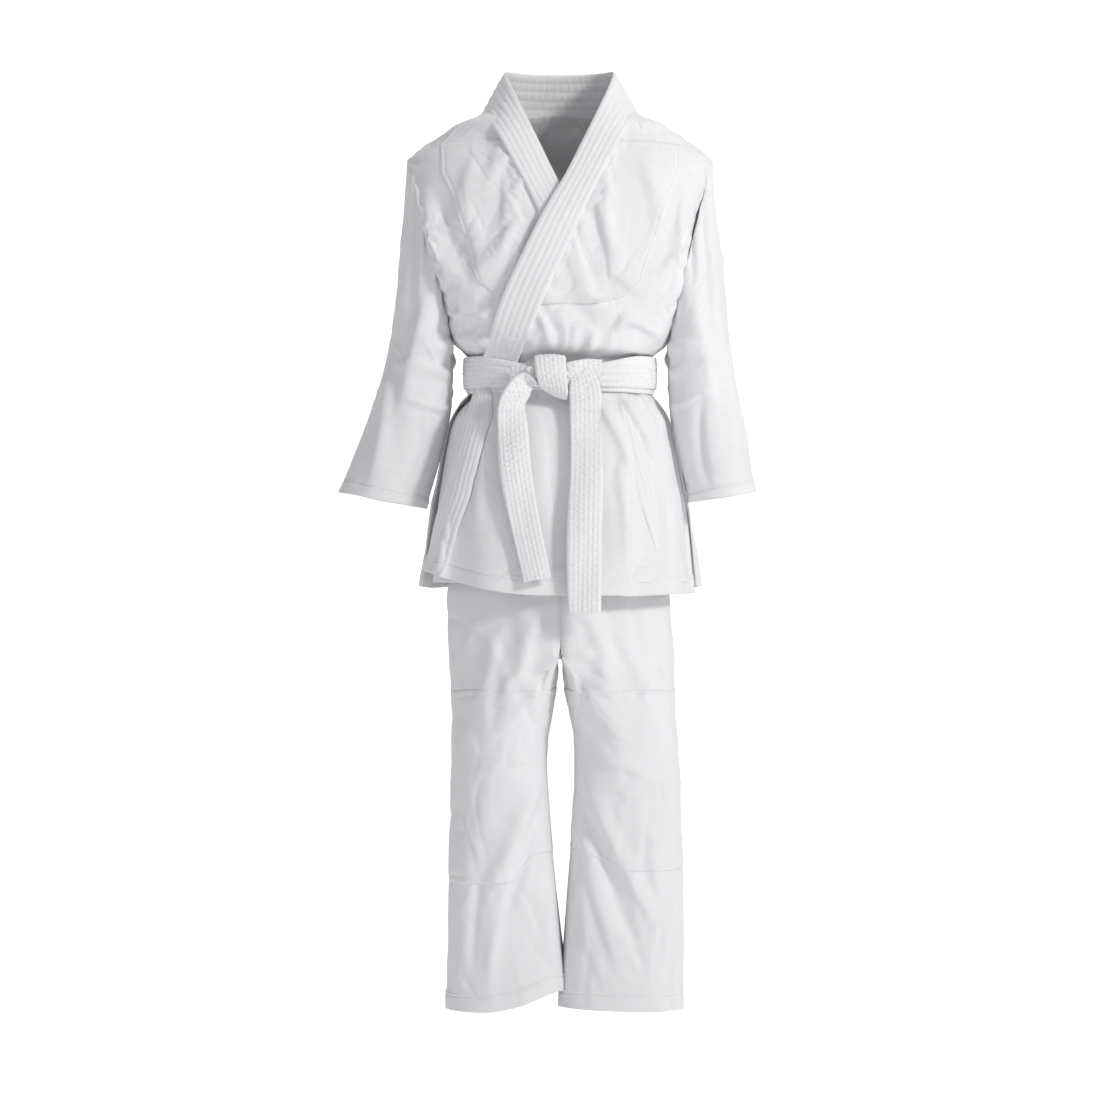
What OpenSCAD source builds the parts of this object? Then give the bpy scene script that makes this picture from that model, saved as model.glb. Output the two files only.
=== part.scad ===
// Child's judo uniform: a wrap jacket with a quilted collar, a knotted belt and loose trousers,
// standing in the shape that it takes when it is worn. All sizes are in millimetres.
// The origin is at the base of the neck, on the centre line. +X is the wearer's left,
// +Y is behind the wearer and +Z is up.

/* [Jacket] */
// Shoulder tip to shoulder tip
shoulder_w = 380; // [370:1:390]
// Width of the neck opening at the shoulder line
neck_w = 182; // [176:1:188]
// Width of the body at the armpits
chest_w = 270; // [266:1:274]
// Depth of the body at the chest
chest_d = 204; // [198:1:210]
// Width of the jacket under the belt
waist_w = 205; // [202:1:207]
// Depth of the jacket under the belt
waist_d = 145; // [142:1:148]
// Width of the skirt at its hem
skirt_w = 330; // [324:1:340]
// Depth of the skirt at its hem
skirt_d = 244; // [236:1:252]
// Height of the hem below the neck
skirt_drop = 610; // [590:1:620]
// Height of the armpits below the neck
armpit_drop = 288; // [284:1:292]
// Standing height of the collar behind the neck
collar_h = 45; // [38:1:50]

/* [Belt] */
// Width of the belt
belt_w = 40; // [36:1:42]
// Thickness of one turn of the belt
belt_t = 3; // [2.5:0.1:3]
// Height of the belt's middle below the neck
belt_drop = 340; // [338:1:342]
// Length of the tail on the wearer's left, below the knot
tail_left_len = 258; // [200:1:270]
// Length of the tail on the wearer's right, below the knot
tail_right_len = 222; // [180:1:240]

/* [Trousers] */
// Width of the hips at the crotch
hip_w = 292; // [284:1:296]
// Width of one leg at its hem
leg_hem_w = 150; // [140:1:152]
// Depth of one leg at its hem
leg_hem_d = 115; // [100:1:120]
// Height of the crotch below the neck
crotch_drop = 688; // [680:1:700]
// Height of the knee below the neck
knee_drop = 820; // [810:1:830]
// Height of the leg hem below the neck
leg_drop = 1125; // [1100:1:1150]

/* [Cloth] */
// Thickness of one layer of jacket cloth
jacket_t = 2; // [1.5:0.1:2]
// Thickness of a sewn-on patch
patch_t = 1.2; // [0.8:0.1:1.2]
// Thickness of the quilted collar and lapels
lapel_t = 3.5; // [3:0.1:3.5]
// Thickness of one layer of trouser cloth
trouser_t = 1.6; // [1.2:0.1:2]

/* [Hidden] */

squareness = 2.5;   // exponent of the oval cross sections: 2 is an ellipse
side = 360;         // angle of the left side seam and shoulder line
ring_points = 32;   // points round a sleeve or a leg

shoulder_z = -66;
armpit_z = -armpit_drop;
belt_top = -belt_drop + belt_w / 2;
belt_low = -belt_drop - belt_w / 2;
skirt_top = belt_low - 12;
jacket_low = belt_low - 6;
knee_z = -knee_drop;
crotch_z = -crotch_drop;

// How far each layer lies outside the jacket's own surface
patch_off = patch_t + 1.8;
yoke_off = patch_t + 3.6;
under_off = -10;                         // the right front, where it passes under the left
over_off = 5;                            // the left front, where it passes over the right
lapel_off = lapel_t + 3.2;
belt_off = over_off + lapel_off + 1;     // inside of the inner wrap
tail_off = 12.5;
tail_t = 3;

// Cross sections by height: [z, half width, half depth, middle x, middle y]
jacket_rows = [
    [collar_h, neck_w * 0.375, 48, 0, 2],
    [0, neck_w / 2, 58, 0, 0],
    [-10, neck_w / 2 + 13, 62, 0, 0],
    [-30, shoulder_w / 2 - 55, 72, 0, 0],
    [-50, shoulder_w / 2 - 24, 80, 0, 0],
    [shoulder_z, shoulder_w / 2, 86, 0, 0],
    [-100, shoulder_w / 2, chest_d / 2 - 8, 0, 0],
    [-150, shoulder_w / 2, chest_d / 2 - 2, 0, 0],
    [-200, shoulder_w / 2 - 13, chest_d / 2, 0, 0],
    [-250, chest_w / 2 + 14, chest_d / 2, 0, 0],
    [armpit_z, chest_w / 2, chest_d / 2 - 3, 0, 0],
    [-302, chest_w / 2 - 7, chest_d / 2 - 9, 0, 0],
    [-311, waist_w / 2 + 10, waist_d / 2 + 14, 0, 0],
    [belt_top + 2, waist_w / 2, waist_d / 2, 0, 0],
    [jacket_low, waist_w / 2, waist_d / 2, 0, 0]
];
skirt_rows = [
    [skirt_top, 122, 93, 0, 0],
    [-390, 134, 101, 0, 0],
    [-430, 141, 108, 0, 0],
    [-500, 154, 115, 0, 0],
    [-skirt_drop, skirt_w / 2, skirt_d / 2, 0, 0]
];
trouser_rows = [
    [-322, 93, 60, -3, 4],
    [jacket_low, 94, 61, -3, 4],
    [-426, 102, 71, 0, 3],
    [-500, 118, 88, 0, 2],
    [-560, 130, 94, 0, 2],
    [-606, 138, 97, 0, 1],
    [crotch_z, hip_w / 2, 98, 0, 0]
];

// The heights at which every sheet of the jacket's body has a row of points
jacket_heights = [
    -3, -10, -20, -30, -50, shoulder_z, -82, -100, -125, -150, -175, -200, -225, -250, -270, armpit_z,
    -302, -311, belt_top + 2, -342, jacket_low
];

// The left lapel's free edge and its seam, as [z, x]; the right lapel is the same, mirrored
lapel_free = [
    [0, 47], [-94, 4], [-125, -16], [-166, -35], [-209, -54], [-244, -69],
    [-275, -78], [-312, -83], [-357, -100], [skirt_top, -106], [-540, -150], [-skirt_drop, -161]
];
lapel_seam = [
    [0, 90], [-16, 87], [-131, 21], [-166, 14], [-209, -5], [-244, -21],
    [-275, -30], [-312, -46], [-357, -60], [skirt_top, -66], [-540, -108], [-skirt_drop, -120]
];
// The far edge of the chest patch, as [z, x]
chest_patch_edge = [[-62, 160], [-90, 150], [-119, 133], [-180, 114], [-225, 100], [-244, 82], [-252, 62]];
// The edge of the yoke on the front, as [z, angle past the shoulder line]
yoke_edge = [[-6, -8], [-20, -18], [-40, -30], [-58, -12], [-64, 3], [-80, 3]];

// Sleeve sections by side: [outer x, outer z, inner x, inner z, half depth]
armhole_ring = [shoulder_w / 2, shoulder_z, chest_w / 2, armpit_z, 60];
head_ring = [204, -152, 140, -302, 58];
sleeve_rings = [
    [[212, -240, 141, -345, 55], [222, -310, 146, -390, 52], [236, -380, 155, -432, 48],
        [252, -481, 171, -494, 44]],
    [[213, -240, 142, -346, 55], [227, -310, 147, -390, 52], [248, -380, 156, -430, 48],
        [284, -481, 177, -502, 44]]
];
cuff_share = 0.2;   // the cuff's share of the last stretch of sleeve

// Leg sections: [z, inner x, outer x, half depth, middle y, roundness]
leg_rows = [
    [crotch_z - 3, 2, hip_w / 2, 98, 0, 0],
    [-731, 8, hip_w / 2, 92, 0, 0.5],
    [-780, 19, 146, 83, 0, 1],
    [knee_z, 25, 147, 75, 0, 1],
    [-906, 26, 148, 66, 0, 1],
    [-944, 23, 149, 62, 0, 1],
    [-1084, 6, 3 + leg_hem_w, 58, 0, 1],
    [-leg_drop, 3, 3 + leg_hem_w, leg_hem_d / 2, 0, 1]
];
knee_axis_y = -5;
knee_cut = 46;      // slope of the cut at the back of the knee, in degrees
hem_h = 20;         // height of the leg's hem band

white_cloth = [0.93, 0.93, 0.95];
shade_cloth = [0.86, 0.86, 0.89];
quilt_cloth = [0.96, 0.96, 0.97];
trouser_cloth = [0.90, 0.90, 0.93];
belt_cloth = [0.98, 0.98, 0.98];

// ---- Functions ----

function column(rows, k) = [for (row = rows) [row[0], row[k]]];
function at(rows, k, z) = lookup(z, column(rows, k));
function signed_pow(v, p) = sign(v) * pow(abs(v), p);
function mix(a, b, s) = a * (1 - s) + b * s;
function smooth(s) = let (c = min(max(s, 0), 1)) c * c * (3 - 2 * c);

// A point on a body of oval sections. Angle 0 is +X, 90 is behind, 270 is in front.
function on_body(rows, t, z, off) = [
    (at(rows, 1, z) + off) * signed_pow(cos(t), 2 / squareness) + at(rows, 3, z),
    (at(rows, 2, z) + off) * signed_pow(sin(t), 2 / squareness) + at(rows, 4, z),
    z
];

// The angle at which a front surface has this x
function front_angle(rows, x, z) =
    let (c = pow(min(abs(x) / at(rows, 1, z), 1), squareness / 2))
    x >= 0 ? 360 - acos(c) : 180 + acos(c);

// Degrees from the side seam to the edge of the armhole
function arm_angle(z) =
    z > shoulder_z || z < armpit_z ? 0.3 :
    let (x = mix(shoulder_w, chest_w, (shoulder_z - z) / (shoulder_z - armpit_z)) / 2 - 2)
    max(0.3, acos(pow(x / at(jacket_rows, 1, z), squareness / 2)));

// The layer of each front, by x: the left one rises over the right one, which sinks under it
function over_layer(x) = over_off * smooth((20 - x) / 60);
function under_layer(x) = under_off * smooth((x + 70) / 66);

// A share of the way through the jacket's heights that lie between two limits
function heights_between(top, low) =
    concat([top], [for (z = jacket_heights) if (z < top - 3 && z > low + 3) z], [low]);
function height_at(heights, d) = heights[round(d * (len(heights) - 1))];

function lapel_x(z, s) = mix(lookup(z, lapel_free), lookup(z, lapel_seam), s);

// Rows of faces between two rows of points, split into triangles
function quad(a, b, c, d) = [[a, b, c], [a, c, d]];

// ---- Building blocks ----

// A closed solid between an outer and an inner grid of points. Rows run down, columns run
// with the angle. When round, the last column joins the first one.
module slab(outer, inner, round = false) {
    down = len(outer);
    across = len(outer[0]);
    far = down * across;
    cells = round ? across : across - 1;
    points = [for (grid = [outer, inner]) for (row = grid) for (p = row) p];
    faces = [
        for (i = [0:down - 2]) for (j = [0:cells - 1])
            let (a = i * across + j, b = i * across + (j + 1) % across, c = b + across, d = a + across)
            for (f = concat(quad(a, b, c, d), quad(far + d, far + c, far + b, far + a))) f,
        for (j = [0:cells - 1])
            let (a = j, b = (j + 1) % across, low = (down - 1) * across)
            for (f = concat(quad(a, far + a, far + b, b),
                quad(low + a, low + b, far + low + b, far + low + a))) f,
        if (!round) for (i = [0:down - 2])
            let (a = i * across, b = a + across, c = a + across - 1, d = c + across)
            for (f = concat(quad(far + a, a, b, far + b), quad(c, far + c, far + d, d))) f
    ];
    polyhedron(points, faces, convexity = 6);
}

// A piece of cloth on a body. where(s, c) gives [angle, z] for shares down and across,
// and layer(angle, z) gives how far its outside lies from the body's surface.
module cloth(rows, where, layer, thick, down, across, round = false) {
    last = round ? across - 1 : across;
    spots = [for (i = [0:down]) [for (j = [0:last]) where(i / down, j / across)]];
    outer = [for (row = spots) [for (q = row) on_body(rows, q[0], q[1], layer(q[0], q[1]))]];
    inner = [for (row = spots) [for (q = row) on_body(rows, q[0], q[1], layer(q[0], q[1]) - thick)]];
    slab(outer, inner, round);
}

// A closed ring whose section is a polygon of [layer, z] points, listed downwards on its outside
module hoop(rows, section, across) {
    sides = len(section);
    points = [for (q = section) for (j = [0:across - 1]) on_body(rows, 360 * j / across, q[1], q[0])];
    faces = [for (k = [0:sides - 1]) for (j = [0:across - 1])
        let (next_j = (j + 1) % across, next_k = (k + 1) % sides)
        for (f = quad(k * across + j, k * across + next_j, next_k * across + next_j, next_k * across + j)) f];
    polyhedron(points, faces, convexity = 6);
}

// One sleeve section as points: an ellipse between its outer and its inner point
function sleeve_ring(ring, off) =
    let (mid = [(ring[0] + ring[2]) / 2, (ring[1] + ring[3]) / 2],
        half = [(ring[0] - ring[2]) / 2, (ring[1] - ring[3]) / 2],
        reach = (norm(half) + off) / norm(half))
    [for (j = [0:ring_points - 1]) let (t = j * 360 / ring_points)
        [mid[0] + half[0] * reach * cos(t), (ring[4] + off) * sin(t), mid[1] + half[1] * reach * cos(t)]];

module sleeve_tube(rings, thick, out = 0) {
    slab([for (r = rings) sleeve_ring(r, out)], [for (r = rings) sleeve_ring(r, out - thick)], true);
}

// One leg section as points: half of the hips' oval at the crotch, an oval of its own lower down
function leg_point(z, j, off) =
    let (t = j * 360 / ring_points,
        x_in = at(leg_rows, 1, z), x_out = at(leg_rows, 2, z), b = at(leg_rows, 3, z) + off,
        half = (x_out - x_in) / 2 + off,
        own = [(x_in + x_out) / 2 + half * signed_pow(cos(t), 0.9), b * signed_pow(sin(t), 0.9)],
        flat = x_in - off,
        shared = cos(t) >= 0 ?
            [mix(flat, x_out + off, signed_pow(cos(t), 2 / squareness)),
                b * signed_pow(sin(t), 2 / squareness)] :
            [flat, b * sin(t)],
        p = mix(shared, own, at(leg_rows, 5, z)))
    [p[0], p[1] + at(leg_rows, 4, z), z];

// A ring whose back is lifted (share above 0) or lowered (share below 0) clear of the bent knee
function leg_ring(z, off, share) = [for (j = [0:ring_points - 1])
    let (p = leg_point(z, j, off), lift = max(0, p[1] - knee_axis_y) * tan(knee_cut))
    leg_point(z + share * lift, j, off)];

module leg_tube(heights, thick, cuts, out = 0) {
    slab([for (i = [0:len(heights) - 1]) leg_ring(heights[i], out, cuts[i])],
        [for (i = [0:len(heights) - 1]) leg_ring(heights[i], out - thick, cuts[i])], true);
}

// A patch on the front of a leg, from one height to another
module leg_patch(top, low) {
    first = round(ring_points * 0.55);
    last = round(ring_points * 0.95);
    function grid(off) = [for (i = [0:5]) [for (j = [first:last]) leg_point(mix(top, low, i / 5), j, off)]];
    slab(grid(patch_off), grid(patch_off - patch_t));
}

module on_side(s) {
    mirror([s > 0 ? 0 : 1, 0, 0]) children();
}

// ---- Jacket body ----

module back_panel(s) {
    on_side(s)
        cloth(jacket_rows,
            function(d, c) let (z = height_at(jacket_heights, d)) [mix(arm_angle(z), 89.7, c), z],
            function(t, z) 0, jacket_t, len(jacket_heights) - 1, 12);
}
module back_panel_left() { color(white_cloth) back_panel(1); }
module back_panel_right() { color(white_cloth) back_panel(-1); }

module front_panel_left() {
    color(white_cloth)
        cloth(jacket_rows,
            function(d, c) let (z = height_at(jacket_heights, d),
                first = front_angle(jacket_rows, lapel_x(z, 0.1), z))
                [mix(first, side - arm_angle(z), c), z],
            function(t, z) over_layer(on_body(jacket_rows, t, z, 0)[0]),
            jacket_t, len(jacket_heights) - 1, 17);
}

module front_panel_right() {
    color(shade_cloth)
        cloth(jacket_rows,
            function(d, c) let (z = height_at(jacket_heights, d),
                last = front_angle(jacket_rows, -lapel_x(z, 0.1), z))
                [mix(180 + arm_angle(z), last, c), z],
            function(t, z) under_layer(on_body(jacket_rows, t, z, 0)[0]),
            jacket_t, len(jacket_heights) - 1, 17);
}

module shoulder_yoke() {
    heights = heights_between(-6, -140);
    function edge(z) = z > -70 ? lookup(z, yoke_edge) : arm_angle(z) + 2;
    color(quilt_cloth)
        cloth(jacket_rows,
            function(d, c) let (z = height_at(heights, d)) [mix(edge(z), 180 - edge(z), c), z],
            function(t, z) yoke_off, patch_t, len(heights) - 1, 30);
}

module chest_patch_left() {
    heights = heights_between(shoulder_z, -252);
    color(quilt_cloth)
        cloth(jacket_rows,
            function(d, c) let (z = height_at(heights, d),
                first = front_angle(jacket_rows, lapel_x(z, 1) + 3, z),
                last = front_angle(jacket_rows, lookup(z, chest_patch_edge), z))
                [mix(first, min(last, side - arm_angle(z) - 1), c), z],
            function(t, z) over_layer(on_body(jacket_rows, t, z, 0)[0]) + patch_off,
            patch_t, len(heights) - 1, 10);
}

module chest_patch_right() {
    heights = heights_between(shoulder_z, -232);
    color(quilt_cloth)
        cloth(jacket_rows,
            function(d, c) let (z = height_at(heights, d),
                edge = min(-lapel_x(z, 1) - 3, lapel_x(z, 0) - 5),
                first = front_angle(jacket_rows, -lookup(z, chest_patch_edge), z),
                last = front_angle(jacket_rows, edge, z))
                [mix(max(first, 181 + arm_angle(z)), last, c), z],
            function(t, z) under_layer(on_body(jacket_rows, t, z, 0)[0]) + patch_off,
            patch_t, len(heights) - 1, 10);
}

module collar_back() {
    low_edge = 62;
    top_edge = 18;
    color(quilt_cloth)
        cloth(jacket_rows,
            function(d, c) let (edge = mix(top_edge, low_edge, d))
                [mix(-edge, 180 + edge, c), mix(collar_h, -1, d)],
            function(t, z) lapel_t / 2, lapel_t, 3, 26);
}

module lapel_left() {
    heights = heights_between(-4, jacket_low);
    color(quilt_cloth)
        cloth(jacket_rows,
            function(d, c) let (z = height_at(heights, d))
                [front_angle(jacket_rows, lapel_x(z, c), z), z],
            // it stands a little further off where it climbs the shoulder
            function(t, z) over_layer(on_body(jacket_rows, t, z, 0)[0]) + lapel_off + max(0, z + 70) / 28,
            lapel_t, len(heights) - 1, 5);
}

module lapel_right() {
    heights = heights_between(-4, jacket_low);
    color(quilt_cloth)
        cloth(jacket_rows,
            function(d, c) let (z = height_at(heights, d))
                [front_angle(jacket_rows, -lapel_x(z, 1 - c), z), z],
            function(t, z) under_layer(on_body(jacket_rows, t, z, 0)[0]) + lapel_off,
            lapel_t, len(heights) - 1, 4);
}

module armpit_gusset(s) {
    reach = 14;
    on_side(s)
        cloth(jacket_rows,
            function(d, c) let (z = mix(armpit_z - 3, -310, d), w = reach * (0.3 + 0.7 * sin(180 * d)))
                [mix(-w, w, c), z],
            function(t, z) patch_off, patch_t, 6, 6);
}
module armpit_gusset_left() { color(shade_cloth) armpit_gusset(1); }
module armpit_gusset_right() { color(shade_cloth) armpit_gusset(-1); }

// ---- Sleeves ----

// The sleeve's head stays with the body: it fills the wedge between the armhole and the arm
module sleeve_head(s) {
    start = mix(armhole_ring, head_ring, 0.02);
    on_side(s) sleeve_tube([start, mix(start, head_ring, 0.5), head_ring], jacket_t);
}
module sleeve_head_left() { color(white_cloth) sleeve_head(1); }
module sleeve_head_right() { color(shade_cloth) sleeve_head(-1); }

function cuff_start(k) = mix(sleeve_rings[k][2], sleeve_rings[k][3], 1 - cuff_share);

module sleeve(s, k) {
    first = mix(head_ring, sleeve_rings[k][0], 0.03);
    on_side(s)
        sleeve_tube([first, sleeve_rings[k][0], sleeve_rings[k][1], sleeve_rings[k][2], cuff_start(k)],
            jacket_t);
}
module sleeve_left() { color(white_cloth) sleeve(1, 0); }
module sleeve_right() { color(shade_cloth) sleeve(-1, 1); }

module cuff(s, k) {
    first = mix(cuff_start(k), sleeve_rings[k][3], 0.03);
    on_side(s) sleeve_tube([first, sleeve_rings[k][3]], jacket_t + 1.5, 0.5);
}
module cuff_left() { color(quilt_cloth) cuff(1, 0); }
module cuff_right() { color(quilt_cloth) cuff(-1, 1); }

// ---- Skirt ----

// The left front's hem rises towards its free edge
function outer_hem(t) = -skirt_drop + 30 * smooth((270 - t) / 85);

module skirt_front_left() {
    color(white_cloth)
        cloth(skirt_rows,
            function(d, c) let (z = mix(skirt_top, -skirt_drop, d),
                first = front_angle(skirt_rows, lapel_x(z, 0.05), z), t = mix(first, side - 1.5, c))
                [t, mix(skirt_top, outer_hem(t), d)],
            function(t, z) 0, jacket_t, 8, 20);
}

module skirt_front_right() {
    color(shade_cloth)
        cloth(skirt_rows,
            function(d, c) let (z = mix(skirt_top, -skirt_drop + 14, d),
                last = front_angle(skirt_rows, -lapel_x(z, 0.05), z))
                [mix(181.5, last, c), z],
            function(t, z) under_off - 1, jacket_t, 8, 18);
}

module skirt_back() {
    color(white_cloth)
        cloth(skirt_rows,
            function(d, c) [mix(1.5, 178.5, c), mix(skirt_top, -skirt_drop + 8, d)],
            function(t, z) 0, jacket_t, 8, 20);
}

module skirt_lapel_left() {
    color(quilt_cloth)
        cloth(skirt_rows,
            function(d, c) let (z = mix(skirt_top, -skirt_drop, d),
                t = front_angle(skirt_rows, lapel_x(z, c), z))
                [t, mix(skirt_top, outer_hem(t), d)],
            function(t, z) lapel_off, lapel_t, 8, 4);
}

module skirt_lapel_right() {
    color(quilt_cloth)
        cloth(skirt_rows,
            function(d, c) let (z = mix(skirt_top, -skirt_drop + 16, d))
                [front_angle(skirt_rows, -lapel_x(z, 1 - c), z), z],
            function(t, z) under_off - 1 + lapel_off, lapel_t, 8, 4);
}

module vent_patch(s) {
    top = -412;
    low = -452;
    on_side(s)
        cloth(skirt_rows,
            function(d, c) [mix(2, 20, c), mix(top, low, d)],
            function(t, z) patch_off, patch_t, 3, 4);
}
module vent_patch_left() { color(quilt_cloth) vent_patch(1); }
module vent_patch_right() { color(quilt_cloth) vent_patch(-1); }

// ---- Belt ----

module belt_wrap(inside) {
    cloth(jacket_rows,
        function(d, c) [360 * c, mix(belt_top, belt_low, d)],
        function(t, z) inside + belt_t, belt_t, 1, 48, true);
}
module belt_inner_wrap() { color(belt_cloth) belt_wrap(belt_off); }
module belt_outer_wrap() { color(belt_cloth) belt_wrap(belt_off + belt_t + 0.6); }

// The knot is a rounded block, wider at its top: [share of depth, scale] from back to front
module belt_knot() {
    back_y = -(waist_d / 2 + belt_off + 2 * belt_t + 1.4);
    deep = 24;
    steps = [[0, 0.9], [0.25, 1], [0.7, 0.96], [1, 0.72]];
    outline = [[-31, -327], [-11, -323], [10, -327], [14, -345], [7, -370], [-10, -366], [-33, -354]];
    mid = [-10, -346];
    sides = len(outline);
    points = [for (s = steps) for (p = outline)
        let (q = mid + (p - mid) * s[1]) [q[0], back_y - deep * s[0], q[1]]];
    last = sides * (len(steps) - 1);
    walls = [for (i = [0:len(steps) - 2]) for (j = [0:sides - 1])
        let (a = i * sides + j, b = i * sides + (j + 1) % sides)
        for (f = quad(b, a, a + sides, b + sides)) f];
    color(belt_cloth)
        polyhedron(points, concat(walls,
            [[for (j = [0:sides - 1]) j]], [[for (j = [0:sides - 1]) last + sides - 1 - j]]));
}

// A tail hangs down the skirt from x = top_x to x = low_x
module belt_tail(top_x, low_x, length) {
    top = skirt_top;
    function x_at(d) = mix(top_x, low_x, d);
    color(belt_cloth)
        cloth(skirt_rows,
            function(d, c) let (z = mix(top, top - length, d))
                [front_angle(skirt_rows, x_at(d) + belt_w * (c - 0.5), z), z],
            function(t, z) tail_off, tail_t, 8, 3);
}
module belt_tail_left() { belt_tail(29, 28, tail_left_len); }
module belt_tail_right() { belt_tail(-54, -28, tail_right_len); }

// ---- Trousers ----

band_low = -362;

// The waistband is a channel, open below, with the elastic inside it
module waistband() {
    top = -322;
    roof = -324;
    deep = 5.6;
    wall = 1.4;
    color(trouser_cloth)
        hoop(trouser_rows, [[0, top], [0, band_low], [-wall, band_low], [-wall, roof],
            [wall - deep, roof], [wall - deep, band_low], [-deep, band_low], [-deep, top]], 40);
}

module waist_elastic() {
    color("white")
        cloth(trouser_rows, function(d, c) [360 * c, mix(-326, -358, d)],
            function(t, z) -2, 1.6, 1, 40, true);
}

module hips(s) {
    first = s > 0 ? -89.7 : 90.3;
    cloth(trouser_rows, function(d, c) [first + 179.4 * c, mix(band_low - 1, crotch_z, d)],
        function(t, z) 0, trouser_t, 9, 18);
}
module hips_left() { color(trouser_cloth) hips(1); }
module hips_right() { color(trouser_cloth) hips(-1); }

// A narrow strip that runs under the crotch from front to back
module crotch_gusset() {
    wide = 14;
    reach = 92;
    rise = 10;
    function strip(lift) = [for (i = [0:8]) let (y = mix(-reach, reach, i / 8))
        [for (x = [wide, -wide]) [x, y, crotch_z + 1.5 + rise * pow(y / reach, 2) + lift]]];
    color(trouser_cloth) slab(strip(0), strip(trouser_t));
}

module thigh(s) {
    heights = [crotch_z - 2.5, -708, -731, -760, -790, knee_z + 1];
    on_side(s) leg_tube(heights, trouser_t, [0, 0, 0, 0.3, 0.6, 1]);
}
module thigh_left() { color(trouser_cloth) thigh(1); }
module thigh_right() { color(trouser_cloth) thigh(-1); }

module shin(s) {
    heights = [knee_z - 1, -856, -890, -925, -944, -1000, -1050, -leg_drop + hem_h];
    on_side(s) leg_tube(heights, trouser_t, [-1, -0.67, -0.33, 0, 0, 0, 0, 0]);
}
module shin_left() { color(trouser_cloth) shin(1); }
module shin_right() { color(trouser_cloth) shin(-1); }

module knee_patch_upper_left() { color(quilt_cloth) on_side(1) leg_patch(-728, knee_z + 2); }
module knee_patch_upper_right() { color(quilt_cloth) on_side(-1) leg_patch(-728, knee_z + 2); }
module knee_patch_lower_left() { color(quilt_cloth) on_side(1) leg_patch(knee_z - 2, -950); }
module knee_patch_lower_right() { color(quilt_cloth) on_side(-1) leg_patch(knee_z - 2, -950); }

module leg_hem(s) {
    on_side(s) leg_tube([-leg_drop + hem_h - 1, -leg_drop], trouser_t + 1.4, [0, 0], 0.4);
}
module leg_hem_left() { color(quilt_cloth) leg_hem(1); }
module leg_hem_right() { color(quilt_cloth) leg_hem(-1); }

// ---- The nodes ----

back_panel_left();
back_panel_right();
front_panel_left();
front_panel_right();
shoulder_yoke();
chest_patch_left();
chest_patch_right();
collar_back();
lapel_left();
lapel_right();
armpit_gusset_left();
armpit_gusset_right();
sleeve_head_left();
sleeve_head_right();
sleeve_left();
sleeve_right();
cuff_left();
cuff_right();
skirt_front_left();
skirt_front_right();
skirt_back();
skirt_lapel_left();
skirt_lapel_right();
vent_patch_left();
vent_patch_right();
belt_inner_wrap();
belt_outer_wrap();
belt_knot();
belt_tail_left();
belt_tail_right();
waistband();
waist_elastic();
hips_left();
hips_right();
crotch_gusset();
thigh_left();
thigh_right();
knee_patch_upper_left();
knee_patch_upper_right();
shin_left();
shin_right();
knee_patch_lower_left();
knee_patch_lower_right();
leg_hem_left();
leg_hem_right();
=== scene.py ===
# The looks of a child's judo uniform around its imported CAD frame.
# The body's oval, the sleeves, skirt and legs are grids of points, draped and given a thickness.
# Shapes are worked out in millimetres, in the frame's own axes, and become metres in add_shell().
import math

import bpy
import numpy as np
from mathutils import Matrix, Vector


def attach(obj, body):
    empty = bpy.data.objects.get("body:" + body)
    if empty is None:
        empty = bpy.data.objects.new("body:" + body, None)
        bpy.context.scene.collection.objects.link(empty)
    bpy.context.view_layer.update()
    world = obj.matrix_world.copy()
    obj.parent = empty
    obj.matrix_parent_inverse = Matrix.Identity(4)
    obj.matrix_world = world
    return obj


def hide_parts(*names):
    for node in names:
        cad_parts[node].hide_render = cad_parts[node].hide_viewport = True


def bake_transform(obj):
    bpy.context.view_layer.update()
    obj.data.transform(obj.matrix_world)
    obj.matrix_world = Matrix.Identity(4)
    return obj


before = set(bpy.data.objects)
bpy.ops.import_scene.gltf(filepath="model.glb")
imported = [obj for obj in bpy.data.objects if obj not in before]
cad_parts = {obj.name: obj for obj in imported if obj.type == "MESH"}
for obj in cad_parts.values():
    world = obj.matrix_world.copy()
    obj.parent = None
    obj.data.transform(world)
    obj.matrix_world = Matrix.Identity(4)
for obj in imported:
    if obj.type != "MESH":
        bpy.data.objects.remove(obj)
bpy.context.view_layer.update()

MM = 0.001
SQUARENESS = 2.5        # exponent of the body's oval sections
SHOULDER_Z, ARMPIT_Z = -66, -288
SHOULDER_X, ARMPIT_X = 190, 135
NECK_Z = -3
WAIST_Z = -350          # the jacket's sheets end here, under the belt
SKIRT_TOP = -346
SKIRT_LOW = -610
LEG_LOW = -1125
CROTCH_Z = -688
SLEEVE_LENGTH, SLEEVE_ROUND = 400, 320
SKIRT_DEPTH = 262
LEG_LENGTH = 760
HEM_FOLD, HEM_SEAM = 22, 18      # the turned-up edge and its seam, from the hem
HEM_STITCHES = 18, 15            # stitch rows from the hem of a leg
CUFF_STITCHES = 17, 14           # and of a sleeve
HEM_ZONE = 30                    # the depth that gets finer rows
LAPEL_WIDE = 47
FREE_EDGE = 0.12                 # where a front sheet ends under the lapel, as a share of its width

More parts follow.
